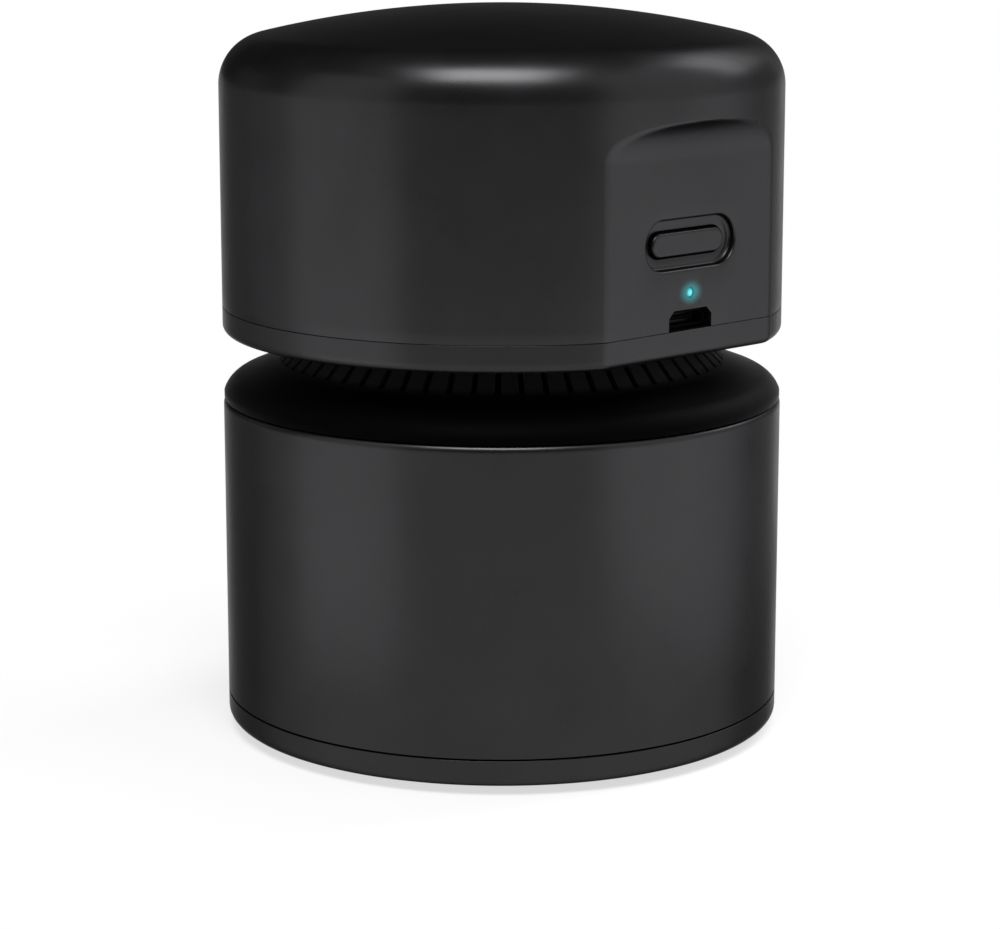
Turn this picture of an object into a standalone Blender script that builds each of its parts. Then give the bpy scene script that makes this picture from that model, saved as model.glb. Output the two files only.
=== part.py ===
"""Desktop mini vacuum cleaner: a domed power head over a slotted exhaust neck, on a round dust cup.

Metres, +Z up. The origin is on the surface that the cleaner stands on, under its axis.
The control panel, a flat cut in the head's side, faces -Y.
"""

import math

import bmesh
import bpy
from mathutils import Matrix, Vector

# General sizes
BODY_RADIUS = 0.041
SHELL_WALL = 0.002
TOUCH_GAP = 0.0003
CUT_OVERRUN = 0.003
FUSE_DEPTH = 0.0004
FINE_GAP = 0.00015
SHAFT_CLEARANCE = 0.00008
EDGE_BREAK = 0.0004
LOWER_EDGE_STEPS = 3

# Counts of flat steps round turned pieces
SHELL_STEPS = 48
WHEEL_STEPS = 28
SMALL_STEPS = 20
SCREW_STEPS = 8

# Base cover, feet and brush
STAND_HEIGHT = 0.0012
BASE_EDGE_ROUND = 0.0015
BASE_SKIRT_HEIGHT = 0.00385
BASE_SKIRT_WALL = 0.0026
BASE_PLATE_THICKNESS = 0.0018
LIP_WALL = 0.0016
BASE_LIP_HEIGHT = 0.0025
BASE_SEAM = 0.0004
MOUTH_FLARE = 0.0025
FOOT_RADIUS = 0.0019
FOOT_MARGIN = 0.00075
FOOT_COUNT = 4
BRUSH_BACKING_WIDTH = 0.0026
BRUSH_BRISTLE_WIDTH = 0.0016
BRUSH_BACKING_HEIGHT = 0.0006
BRUSH_GROOVE_DEPTH = 0.001
BRUSH_GROOVE_SETBACK = 0.0053
BRUSH_TIP_CLEARANCE = 0.0003
BRUSH_TUFT_COUNT = 12
BRUSH_TUFT_GAP = 0.004
BASE_SCREW_COUNT = 3

# Dust cup, its floor and its intake tube
CUP_HEIGHT = 0.0438
CUP_FLOOR_THICKNESS = 0.0016
CUP_HOLLOW_UNDER_FLOOR = 0.0029
CUP_REBATE_DEPTH = 0.0008
INTAKE_RADIUS = 0.009
INTAKE_WALL = 0.0014
INTAKE_COLLAR_WIDTH = 0.0016
INTAKE_COLLAR_THICKNESS = 0.0012
INTAKE_CAP_CLEARANCE = 0.0056

# Exhaust neck
SHOULDER_STEP = 0.0001
SHOULDER_EDGE_THICKNESS = 0.0006
SHOULDER_ROUND = 0.004
SHOULDER_ROUND_STEPS = 4
SHOULDER_EDGE_ANGLE = math.radians(70)
SHOULDER_SLOPE = math.radians(20)
SHOULDER_WIDTH = 0.0082
CONE_SLOPE = math.radians(45)
CONE_HEIGHT = 0.0034
NECK_WALL = 0.0018
NECK_HEIGHT = 0.0094
SKIRT_WALL = 0.0018
SKIRT_DEPTH = 0.0074
VENT_COUNT = 60
VENT_WIDTH = 0.0009
VENT_END_MARGIN = 0.0004
SEAL_SECTION_RADIUS = 0.0005
SEAL_GROOVE_HEIGHT = 0.0018
SEAL_GROOVE_DEPTH = 0.001
SEAL_DROP = 0.0024
SEAL_SIDES = 6

# Fan inlet plate and its pillars
INLET_PLATE_THICKNESS = 0.0016
INLET_PLATE_DROP = 0.002
INLET_STEP = 0.005
PILLAR_RADIUS = 0.0022
PILLAR_CLEARANCE = 0.0008
PILLAR_COUNT = 3
SPIGOT_WALL = 0.0015
SPIGOT_DEPTH = 0.004

# Filter
FILTER_RING_WALL = 0.0032
FILTER_SCREW_CLEARANCE = 0.0024
FILTER_FLANGE_WIDTH = 0.0055
FILTER_FLANGE_THICKNESS = 0.0016
FILTER_MEDIA_HEIGHT = 0.011
FILTER_PLEAT_COUNT = 30
FILTER_PLEAT_DEPTH = 0.0035
FILTER_MEDIA_INSET = 0.0007
FILTER_MEDIA_THICKNESS = 0.0006
FILTER_CAP_THICKNESS = 0.0014

# Power head: base and shell
HEAD_BASE_PLATE = 0.002
HEAD_BASE_RING = 0.0038
HEAD_EDGE_ROUND = 0.0012
HEAD_LIP_HEIGHT = 0.004
HEAD_SEAM = 0.0003
HEAD_SHELL_HEIGHT = 0.04315
DOME_RADIUS = 0.152
CORNER_RADIUS = 0.0074
DOME_STEPS = 4
CORNER_STEPS = 4
HEAD_BOSS_RADIUS = 0.0028
HEAD_BOSS_HEIGHT = 0.012
HEAD_BOSS_COUNT = 3

# Control panel: a flat cut in the head's side, which ends in a cove at its top
PANEL_CUT_DEPTH = 0.0035
PANEL_WALL = 0.0024
PANEL_HEIGHT = 0.02345
PANEL_COVE_RADIUS = 0.006
PANEL_COVE_STEPS = 8
PANEL_BAR_SHARE = 0.8

# Power button
BUTTON_HEIGHT_ON_PANEL = 0.0119
BUTTON_LENGTH = 0.0144
BUTTON_WIDTH = 0.0034
BUTTON_SINK = 0.0005
BUTTON_GAP = 0.00025
BUTTON_BEVEL = 0.0003
BUTTON_TRAVEL = 0.0008
BUTTON_FLANGE_MARGIN = 0.001
BUTTON_FLANGE_THICKNESS = 0.0008
RECESS_MARGIN = 0.0018
RECESS_DEPTH = 0.0012
STADIUM_STEPS = 8

# Indicator light and charging socket
LAMP_HEIGHT_ON_PANEL = 0.005
LAMP_RADIUS = 0.0006
LAMP_GAP = 0.00015
LAMP_FLANGE_MARGIN = 0.001
LAMP_SINK = 0.0001
LED_WIDTH = 0.003
LED_HEIGHT = 0.0015
LED_DEPTH = 0.001
SOCKET_NOTCH_WIDTH = 0.0086
SOCKET_NOTCH_HEIGHT = 0.0027
SOCKET_NOTCH_CHAMFER = 0.001
SOCKET_WIDTH = 0.0075
SOCKET_HEIGHT = 0.0022
SOCKET_CHAMFER = 0.0007
SOCKET_METAL = 0.0003
SOCKET_SINK = 0.001
TONGUE_WIDTH = 0.005
TONGUE_THICKNESS = 0.0006
TONGUE_BASE_DEPTH = 0.002
TONGUE_SINK = 0.001

# Control board and what is on it
BOARD_WIDTH = 0.028
BOARD_HEIGHT = 0.0195
BOARD_THICKNESS = 0.0012
BOARD_SETBACK = 0.0059
BOARD_LIFT = 0.0008
BOARD_SCREW_SPACING = 0.0225
BOARD_SCREW_DROP = 0.0025
BOARD_BOSS_RADIUS = 0.0021
SWITCH_SIDE = 0.006
SWITCH_DEPTH = 0.0034
SWITCH_PLUNGER_RADIUS = 0.0017
SWITCH_HOLE_DEPTH = 0.0022
CHIP_WIDTH = 0.005
CHIP_HEIGHT = 0.006
CHIP_DEPTH = 0.0014
CONNECTOR_WIDTH = 0.0058
CONNECTOR_HEIGHT = 0.006
CONNECTOR_DEPTH = 0.0045
CONNECTOR_OFFSET = 0.0075

# Motor
MOTOR_RADIUS = 0.0121
MOTOR_HEADROOM = 0.0204
MOTOR_CAN_METAL = 0.001
MOTOR_NOSE_RADIUS = 0.0031
MOTOR_NOSE_LENGTH = 0.0017
MOTOR_SCREW_SPACING = 0.016
MOTOR_CAP_HEIGHT = 0.003
MOTOR_CAP_PLUG = 0.0015
MOTOR_CAP_WALL = 0.0012
MOTOR_HUB_HEIGHT = 0.0011
BUSH_RADIUS = 0.0023
BUSH_SEAT_GAP = 0.0002
BUSH_LENGTH = 0.003
SHAFT_RADIUS = 0.001
MAGNET_THICKNESS = 0.002
MAGNET_FLOOR = 0.0021
MAGNET_TOP_GAP = 0.0034
MAGNET_SPAN = math.radians(140)
MAGNET_STEPS = 8
AIR_GAP = 0.0006
ARMATURE_INSET = 0.003
ARMATURE_SHOE_THICKNESS = 0.0018
ARMATURE_CORE_RADIUS = 0.003
ARMATURE_NECK_WIDTH = 0.0032
ARMATURE_SHOE_SPAN = math.radians(100)
ARMATURE_POLES = 3
ARMATURE_SHOE_STEPS = 5
COMMUTATOR_RADIUS = 0.0028
COMMUTATOR_HEIGHT = 0.0034
COMMUTATOR_GAP = 0.0015
TERMINAL_SPACING = 0.012
TERMINAL_WIDTH = 0.0024
TERMINAL_THICKNESS = 0.0005
TERMINAL_HEIGHT = 0.003

# Impeller
IMPELLER_TIP_CLEARANCE = 0.0015
IMPELLER_EYE_MARGIN = 0.0005
IMPELLER_DISC = 0.001
IMPELLER_INLET_GAP = 0.002
IMPELLER_BLADE_THICKNESS = 0.0008
IMPELLER_BLADE_COUNT = 11
IMPELLER_BLADE_SWEEP = math.radians(38)
IMPELLER_BLADE_STEPS = 4
IMPELLER_HUB_RADIUS = 0.004
IMPELLER_RUNNING_GAP = 0.0014

# Battery and its tray
CELL_HEADROOM = 0.0144
CELL_THICKNESS = 0.01
CELL_EDGE_RADIUS = 0.0015
TRAY_WALL = 0.0012
TRAY_RISE = 0.0034
TRAY_SIDE_HEIGHT = 0.0117
TRAY_LEG_WIDTH = 0.0035
TRAY_MOTOR_GAP = 0.0009
TRAY_SHELL_CLEARANCE = 0.0053

# Leads
LEAD_RADIUS = 0.0006
LEAD_SPACING = 0.002
LEAD_INSET = 0.004
LEAD_STEPS = 12
LEAD_HANDLE = 0.012

# Screws: head radius, head height, shank radius
SHELL_SCREW = {"head": 0.0021, "deep": 0.0013, "shank": 0.0011}
FINE_SCREW = {"head": 0.0016, "deep": 0.0009, "shank": 0.0008}
BASE_SCREW = {"head": 0.002, "deep": 0.0008, "shank": 0.0009}
SCREW_HOLE_GAP = 0.00015
SCREW_TIP_GAP = 0.0006
SCREW_BITE = 0.006
SCREW_SLOT_WIDTH_SHARE = 0.35
SCREW_SLOT_LENGTH_SHARE = 1.3
SCREW_SLOT_DEPTH_SHARE = 0.5
SCREW_STEM_FUSE_SHARE = 0.25
BASE_BOSS_WALL = 0.0017
PILLAR_SCREW_BOSS_HEIGHT = 0.0034
PILLAR_SCREW_BOSS_WALL = 0.0015

# Levels, from the surface upwards
BASE_BOTTOM = STAND_HEIGHT
BASE_TOP = BASE_BOTTOM + BASE_SKIRT_HEIGHT
BASE_PLATE_BOTTOM = BASE_TOP - BASE_PLATE_THICKNESS
CUP_BOTTOM = BASE_TOP + BASE_SEAM
CUP_FLOOR_BOTTOM = BASE_TOP + CUP_HOLLOW_UNDER_FLOOR
CUP_FLOOR_TOP = CUP_FLOOR_BOTTOM + CUP_FLOOR_THICKNESS
CUP_RIM = CUP_BOTTOM + CUP_HEIGHT
SHOULDER_BOTTOM = CUP_RIM + TOUCH_GAP
SHOULDER_TOP = SHOULDER_BOTTOM + SHOULDER_EDGE_THICKNESS
NECK_TOP = CUP_RIM + NECK_HEIGHT
SKIRT_BOTTOM = SHOULDER_BOTTOM - SKIRT_DEPTH
SEAL_LEVEL = SHOULDER_BOTTOM - SEAL_DROP - SEAL_GROOVE_HEIGHT / 2
INLET_PLATE_TOP = SHOULDER_BOTTOM - INLET_PLATE_DROP
INLET_PLATE_BOTTOM = INLET_PLATE_TOP - INLET_PLATE_THICKNESS
SPIGOT_BOTTOM = INLET_PLATE_BOTTOM - SPIGOT_DEPTH
FILTER_FLANGE_TOP = SPIGOT_BOTTOM - TOUCH_GAP
FILTER_MEDIA_TOP = FILTER_FLANGE_TOP - FILTER_FLANGE_THICKNESS - TOUCH_GAP
FILTER_MEDIA_BOTTOM = FILTER_MEDIA_TOP - FILTER_MEDIA_HEIGHT
FILTER_CAP_TOP = FILTER_MEDIA_BOTTOM - TOUCH_GAP
FILTER_CAP_BOTTOM = FILTER_CAP_TOP - FILTER_CAP_THICKNESS
INTAKE_TOP = FILTER_CAP_BOTTOM - INTAKE_CAP_CLEARANCE
HEAD_BOTTOM = NECK_TOP + TOUCH_GAP
HEAD_PLATE_TOP = HEAD_BOTTOM + HEAD_BASE_PLATE
HEAD_RING_TOP = HEAD_BOTTOM + HEAD_BASE_RING
HEAD_LIP_TOP = HEAD_PLATE_TOP + HEAD_LIP_HEIGHT
HEAD_SHELL_BOTTOM = HEAD_RING_TOP + HEAD_SEAM
HEAD_TOP = HEAD_SHELL_BOTTOM + HEAD_SHELL_HEIGHT
PANEL_TOP = HEAD_SHELL_BOTTOM + PANEL_HEIGHT
MOTOR_CAN_LENGTH = HEAD_SHELL_HEIGHT - MOTOR_HEADROOM
MAGNET_LENGTH = MOTOR_CAN_LENGTH - MOTOR_CAN_METAL - MAGNET_FLOOR - MOTOR_CAP_PLUG - MAGNET_TOP_GAP
ARMATURE_HEIGHT = MAGNET_LENGTH - ARMATURE_INSET
CELL_HEIGHT = HEAD_SHELL_HEIGHT - CELL_HEADROOM

# Radii and planes that follow
INNER_RADIUS = BODY_RADIUS - SHELL_WALL
LIP_RADIUS = INNER_RADIUS - TOUCH_GAP
INTAKE_OUTER_RADIUS = INTAKE_RADIUS + INTAKE_WALL
GROOVE_OUTER_RADIUS = BODY_RADIUS - BASE_SKIRT_WALL - BRUSH_GROOVE_SETBACK
BRUSH_RADIUS = GROOVE_OUTER_RADIUS - TOUCH_GAP - BRUSH_BACKING_WIDTH / 2
GROOVE_INNER_RADIUS = BRUSH_RADIUS - BRUSH_BACKING_WIDTH / 2 - TOUCH_GAP
FOOT_CIRCLE = GROOVE_INNER_RADIUS - FOOT_MARGIN - FOOT_RADIUS
BASE_SCREW_CIRCLE = (INTAKE_RADIUS + MOUTH_FLARE + GROOVE_INNER_RADIUS) / 2
SHOULDER_RADIUS = BODY_RADIUS - SHOULDER_STEP
CONE_FOOT_RADIUS = SHOULDER_RADIUS - SHOULDER_WIDTH
NECK_RADIUS = CONE_FOOT_RADIUS - CONE_HEIGHT / math.tan(CONE_SLOPE)
SKIRT_INNER_RADIUS = LIP_RADIUS - SKIRT_WALL
PILLAR_CIRCLE = NECK_RADIUS - NECK_WALL - PILLAR_CLEARANCE - PILLAR_RADIUS
IMPELLER_RADIUS = PILLAR_CIRCLE - PILLAR_RADIUS - IMPELLER_TIP_CLEARANCE
FILTER_RADIUS = PILLAR_CIRCLE - SHELL_SCREW["head"] - FILTER_SCREW_CLEARANCE
FILTER_INNER_RADIUS = FILTER_RADIUS - FILTER_RING_WALL
SPIGOT_RADIUS = FILTER_INNER_RADIUS - TOUCH_GAP
INLET_RADIUS = SPIGOT_RADIUS - SPIGOT_WALL - INLET_STEP
IMPELLER_EYE_RADIUS = INLET_RADIUS + IMPELLER_EYE_MARGIN
PANEL_Y = -(BODY_RADIUS - PANEL_CUT_DEPTH)
PANEL_INNER_Y = PANEL_Y + PANEL_WALL
PANEL_HALF_CHORD = math.sqrt(BODY_RADIUS**2 - PANEL_Y**2)
BOARD_FRONT_Y = PANEL_INNER_Y + BOARD_SETBACK + TOUCH_GAP
BOARD_BACK_Y = BOARD_FRONT_Y + BOARD_THICKNESS
BUTTON_LEVEL = HEAD_SHELL_BOTTOM + BUTTON_HEIGHT_ON_PANEL
LAMP_LEVEL = HEAD_SHELL_BOTTOM + LAMP_HEIGHT_ON_PANEL
SOCKET_LEVEL = HEAD_SHELL_BOTTOM + SOCKET_NOTCH_HEIGHT / 2
BOARD_BOTTOM = HEAD_SHELL_BOTTOM + BOARD_LIFT
BOARD_TOP = BOARD_BOTTOM + BOARD_HEIGHT
MOTOR_BOTTOM = HEAD_PLATE_TOP + TOUCH_GAP
MOTOR_CAN_TOP = MOTOR_BOTTOM + MOTOR_CAN_LENGTH
MOTOR_CAP_BOTTOM = MOTOR_CAN_TOP + TOUCH_GAP
MOTOR_CAP_TOP = MOTOR_CAP_BOTTOM + MOTOR_CAP_HEIGHT
MOTOR_NOSE_BOTTOM = MOTOR_BOTTOM - MOTOR_NOSE_LENGTH
IMPELLER_TOP = HEAD_BOTTOM - IMPELLER_RUNNING_GAP
IMPELLER_BOTTOM = INLET_PLATE_TOP + IMPELLER_INLET_GAP
PILLAR_SCREW_TOP = HEAD_PLATE_TOP + PILLAR_SCREW_BOSS_HEIGHT
TRAY_FLOOR_BOTTOM = max(HEAD_PLATE_TOP + TRAY_RISE, PILLAR_SCREW_TOP) + TOUCH_GAP
TRAY_FRONT_Y = MOTOR_RADIUS + TRAY_MOTOR_GAP
CELL_BOTTOM = TRAY_FLOOR_BOTTOM + TRAY_WALL + TOUCH_GAP
CELL_FRONT_Y = TRAY_FRONT_Y + TRAY_WALL + TOUCH_GAP
TRAY_REAR_Y = CELL_FRONT_Y + CELL_THICKNESS + TOUCH_GAP + TRAY_WALL
TRAY_HALF_WIDTH = math.sqrt((INNER_RADIUS - TRAY_SHELL_CLEARANCE) ** 2 - TRAY_REAR_Y**2)
CELL_WIDTH = 2 * (TRAY_HALF_WIDTH - TRAY_WALL - TOUCH_GAP)

COLOURS = {
    "shell_black": ((0.030, 0.030, 0.032), 0.42, 0.0),
    "neck_black": ((0.008, 0.008, 0.008), 0.38, 0.0),
    "inner_black": ((0.020, 0.020, 0.021), 0.55, 0.0),
    "button_black": ((0.035, 0.035, 0.037), 0.35, 0.0),
    "rubber_black": ((0.015, 0.015, 0.015), 0.8, 0.0),
    "bristle_black": ((0.012, 0.012, 0.013), 0.6, 0.0),
    "lamp_cyan": ((0.10, 0.78, 0.85), 0.2, 0.0),
    "plated_black": ((0.02, 0.02, 0.021), 0.45, 0.6),
    "steel": ((0.55, 0.56, 0.57), 0.3, 1.0),
    "screw_steel": ((0.35, 0.35, 0.36), 0.35, 1.0),
    "brass": ((0.72, 0.52, 0.22), 0.35, 1.0),
    "magnet_grey": ((0.08, 0.08, 0.09), 0.6, 0.2),
    "board_green": ((0.02, 0.16, 0.07), 0.45, 0.0),
    "component_black": ((0.02, 0.02, 0.022), 0.5, 0.0),
    "nylon_white": ((0.75, 0.74, 0.70), 0.5, 0.0),
    "cell_silver": ((0.50, 0.52, 0.55), 0.35, 0.6),
    "filter_white": ((0.80, 0.80, 0.77), 0.9, 0.0),
    "lead_red": ((0.45, 0.02, 0.02), 0.5, 0.0),
    "lead_black": ((0.015, 0.015, 0.015), 0.5, 0.0),
}


def clear_scene():
    for obj in list(bpy.data.objects):
        bpy.data.objects.remove(obj, do_unlink=True)


def new_collection(name, helper=False):
    made = bpy.data.collections.new(name)
    bpy.context.scene.collection.children.link(made)
    made.hide_render = helper
    return made


def finish(name):
    """The named material, made once."""
    found = bpy.data.materials.get(name)
    if found:
        return found
    colour, roughness, metallic = COLOURS[name]
    made = bpy.data.materials.new(name)
    made.use_nodes = True
    shader = made.node_tree.nodes["Principled BSDF"]
    shader.inputs["Base Color"].default_value = (*colour, 1.0)
    shader.inputs["Roughness"].default_value = roughness
    shader.inputs["Metallic"].default_value = metallic
    made.diffuse_color = (*colour, 1.0)
    return made


def place(obj, material=None, location=(0, 0, 0), rotation=(0, 0, 0)):
    """Links a part with its material, or a cutter where no material is given."""
    for old in list(obj.users_collection):
        old.objects.unlink(obj)
    if material:
        PARTS.objects.link(obj)
        if not obj.data.materials:
            obj.data.materials.append(finish(material))
    else:
        CUTTERS.objects.link(obj)
        obj.hide_render = True
        obj.display_type = "WIRE"
    obj.location = location
    obj.rotation_euler = rotation
    return obj


def turned(name, profile, material=None, steps=SHELL_STEPS, location=(0, 0, 0)):
    """A profile of (radius, height) points turned about Z. A profile off the axis is closed into a ring."""
    mesh = bpy.data.meshes.new(name)
    count = len(profile)
    edges = [(i, i + 1) for i in range(count - 1)]
    if profile[0][0] > 0:
        edges.append((count - 1, 0))
    mesh.from_pydata([(r, 0, z) for r, z in profile], edges, [])
    obj = bpy.data.objects.new(name, mesh)
    screw = obj.modifiers.new("turn", "SCREW")
    screw.steps = steps
    screw.render_steps = steps
    screw.use_merge_vertices = True
    screw.merge_threshold = 0.00001
    screw.use_smooth_shade = True
    return place(obj, material, location)


def arc_points(centre, radius, start, end, steps):
    """Points on an arc of a profile or outline, both ends included."""
    made = []
    for i in range(steps + 1):
        angle = start + (end - start) * i / steps
        made.append((centre[0] + radius * math.cos(angle), centre[1] + radius * math.sin(angle)))
    return made


def ring(name, outer, inner, bottom, top, material=None, steps=SMALL_STEPS, location=(0, 0, 0)):
    profile = [(outer, top), (outer, bottom), (inner, bottom), (inner, top)]
    return turned(name, profile, material, steps, location)


def cylinder(name, radius, bottom, top, material=None, steps=SMALL_STEPS, at=(0, 0), bevel=0):
    """An upright cylinder between two levels."""
    bpy.ops.mesh.primitive_cylinder_add(vertices=steps, radius=radius, depth=top - bottom)
    obj = bpy.context.object
    obj.name = name
    obj.data.name = name
    if bevel:
        add_bevel(obj, bevel)
    return place(obj, material, (at[0], at[1], (bottom + top) / 2))


def box(name, low, high, material=None, bevel=0, bevel_steps=1):
    """A block between two opposite corners."""
    bpy.ops.mesh.primitive_cube_add(size=1)
    obj = bpy.context.object
    obj.name = name
    obj.data.name = name
    size = [b - a for a, b in zip(low, high)]
    obj.data.transform(Matrix.Diagonal((*size, 1)))
    if bevel:
        add_bevel(obj, bevel, bevel_steps)
    return place(obj, material, [(a + b) / 2 for a, b in zip(low, high)])


def add_bevel(obj, width, steps=1):
    bevel = obj.modifiers.new("bevel", "BEVEL")
    bevel.width = width
    bevel.segments = steps
    bevel.limit_method = "ANGLE"
    bevel.angle_limit = math.radians(40)


def mesh_from_curve(curve_object, name):
    """A curve's shape as a welded mesh object in the same place."""
    bpy.context.scene.collection.objects.link(curve_object)
    bpy.context.view_layer.update()
    graph = bpy.context.evaluated_depsgraph_get()
    mesh = bpy.data.meshes.new_from_object(curve_object.evaluated_get(graph))
    welded = bmesh.new()
    welded.from_mesh(mesh)
    bmesh.ops.remove_doubles(welded, verts=welded.verts, dist=0.000001)
    bmesh.ops.recalc_face_normals(welded, faces=welded.faces)
    welded.to_mesh(mesh)
    welded.free()
    mesh.name = name
    obj = bpy.data.objects.new(name, mesh)
    obj.matrix_world = curve_object.matrix_world
    bpy.data.objects.remove(curve_object, do_unlink=True)
    return obj


def prism(name, outlines, bottom, top, material=None, facing="up", at=(0, 0, 0)):
    """Flat outlines extruded between two distances. Facing up they lie in XY.

    Facing front they stand in XZ, seen from -Y, and the distances are measured along Y.
    Facing side they stand in YZ and the distances are measured along X.
    """
    curve = bpy.data.curves.new(name + "_outline", "CURVE")
    curve.dimensions = "2D"
    curve.fill_mode = "BOTH"
    curve.extrude = (top - bottom) / 2
    for outline in outlines:
        spline = curve.splines.new("POLY")
        spline.points.add(len(outline) - 1)
        for point, (x, y) in zip(spline.points, outline):
            point.co = (x, y, 0, 1)
        spline.use_cyclic_u = True
    obj = mesh_from_curve(bpy.data.objects.new(name + "_outline", curve), name)
    obj.data.transform(Matrix.Translation((0, 0, (bottom + top) / 2)))
    if facing == "front":
        turn = Matrix(((1, 0, 0, 0), (0, 0, 1, 0), (0, 1, 0, 0), (0, 0, 0, 1)))
        obj.data.transform(turn)
        obj.data.flip_normals()
    if facing == "side":
        turn = Matrix(((0, 0, 1, 0), (1, 0, 0, 0), (0, 1, 0, 0), (0, 0, 0, 1)))
        obj.data.transform(turn)
    return place(obj, material, at)


def boolean(obj, other, operation="DIFFERENCE"):
    modifier = obj.modifiers.new(other.name, "BOOLEAN")
    modifier.operation = operation
    modifier.solver = "EXACT"
    modifier.object = other
    return obj


def smooth(obj):
    """Shades an object with plain mesh faces round, with sharp edges kept."""
    obj.data.shade_smooth()
    obj.data.set_sharp_from_angle(angle=math.radians(40))
    return obj


def circle_places(radius, count, first=math.pi / 2):
    """Points spread evenly on a circle."""
    angles = [first + 2 * math.pi * i / count for i in range(count)]
    return [(radius * math.cos(a), radius * math.sin(a)) for a in angles]


def pegs(name, places, radius, bottom, top, steps=SMALL_STEPS):
    """One helper holding an upright cylinder at each place."""
    shape = bmesh.new()
    for x, y in places:
        made = bmesh.ops.create_cone(
            shape, cap_ends=True, segments=steps, radius1=radius, radius2=radius, depth=top - bottom
        )
        bmesh.ops.translate(shape, verts=made["verts"], vec=(x, y, (bottom + top) / 2))
    mesh = bpy.data.meshes.new(name)
    shape.to_mesh(mesh)
    shape.free()
    return place(bpy.data.objects.new(name, mesh))


def rods(name, places, radius, front, back, steps=SMALL_STEPS):
    """One helper holding a cylinder along Y at each (x, z) place."""
    made = pegs(name, places, radius, -back, -front, steps)
    made.data.transform(Matrix.Rotation(math.pi / 2, 4, "X"))
    return made


def screw_mesh(name, size, length):
    """A pan-head screw with a cross slot, head down, its seat at the origin, pointing up."""
    known = bpy.data.meshes.get(name)
    if known:
        return known
    shape = bmesh.new()
    head, deep, shank = size["head"], size["deep"], size["shank"]
    made = bmesh.ops.create_cone(
        shape, cap_ends=True, segments=SCREW_STEPS, radius1=head, radius2=head, depth=deep
    )
    bmesh.ops.translate(shape, verts=made["verts"], vec=(0, 0, -deep / 2))
    mesh = bpy.data.meshes.new(name + "_head")
    shape.to_mesh(mesh)
    shape.free()
    blank = bpy.data.objects.new(name + "_blank", mesh)
    bpy.context.scene.collection.objects.link(blank)
    stem = pegs(name + "_stem", [(0, 0)], shank, -deep * SCREW_STEM_FUSE_SHARE, length, SCREW_STEPS)
    arm = head * SCREW_SLOT_LENGTH_SHARE / 2
    half = head * SCREW_SLOT_WIDTH_SHARE / 2
    low = -deep - CUT_OVERRUN
    high = -deep * (1 - SCREW_SLOT_DEPTH_SHARE)
    slots = [
        box(name + "_slot_long", (-arm, -half, low), (arm, half, high)),
        box(name + "_slot_cross", (-half, -arm, low), (half, arm, high)),
    ]
    boolean(blank, stem, "UNION")
    for slot in slots:
        boolean(blank, slot)
    bpy.context.view_layer.update()
    graph = bpy.context.evaluated_depsgraph_get()
    final = bpy.data.meshes.new_from_object(blank.evaluated_get(graph))
    final.name = name
    for helper in (blank, stem, *slots):
        bpy.data.objects.remove(helper, do_unlink=True)
    return final


def screw(name, kind, size, length, location, rotation=(0, 0, 0)):
    obj = bpy.data.objects.new(name, screw_mesh(kind, size, length))
    return place(obj, "screw_steel", location, rotation)


def stadium(length, width, steps=STADIUM_STEPS):
    """Outline with straight sides and round ends, level, about the origin."""
    radius = width / 2
    reach = length / 2 - radius
    quarter = math.pi / 2
    right = arc_points((reach, 0), radius, -quarter, quarter, steps)
    left = arc_points((-reach, 0), radius, quarter, 3 * quarter, steps)
    return right + left


def socket_outline(width, height, chamfer):
    """Outline of a charging socket: a box whose lower corners stay square and upper ones are cut."""
    half = width / 2
    rise = height / 2
    return [
        (-half, -rise), (half, -rise), (half, rise - chamfer),
        (half - chamfer, rise), (-half + chamfer, rise), (-half, rise - chamfer),
    ]


def lower_edge(level, radius):
    """The rounded outer edge, from the side down to the underside at this level."""
    centre = (BODY_RADIUS - radius, level + radius)
    return arc_points(centre, radius, 0, -math.pi / 2, LOWER_EDGE_STEPS)


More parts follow.
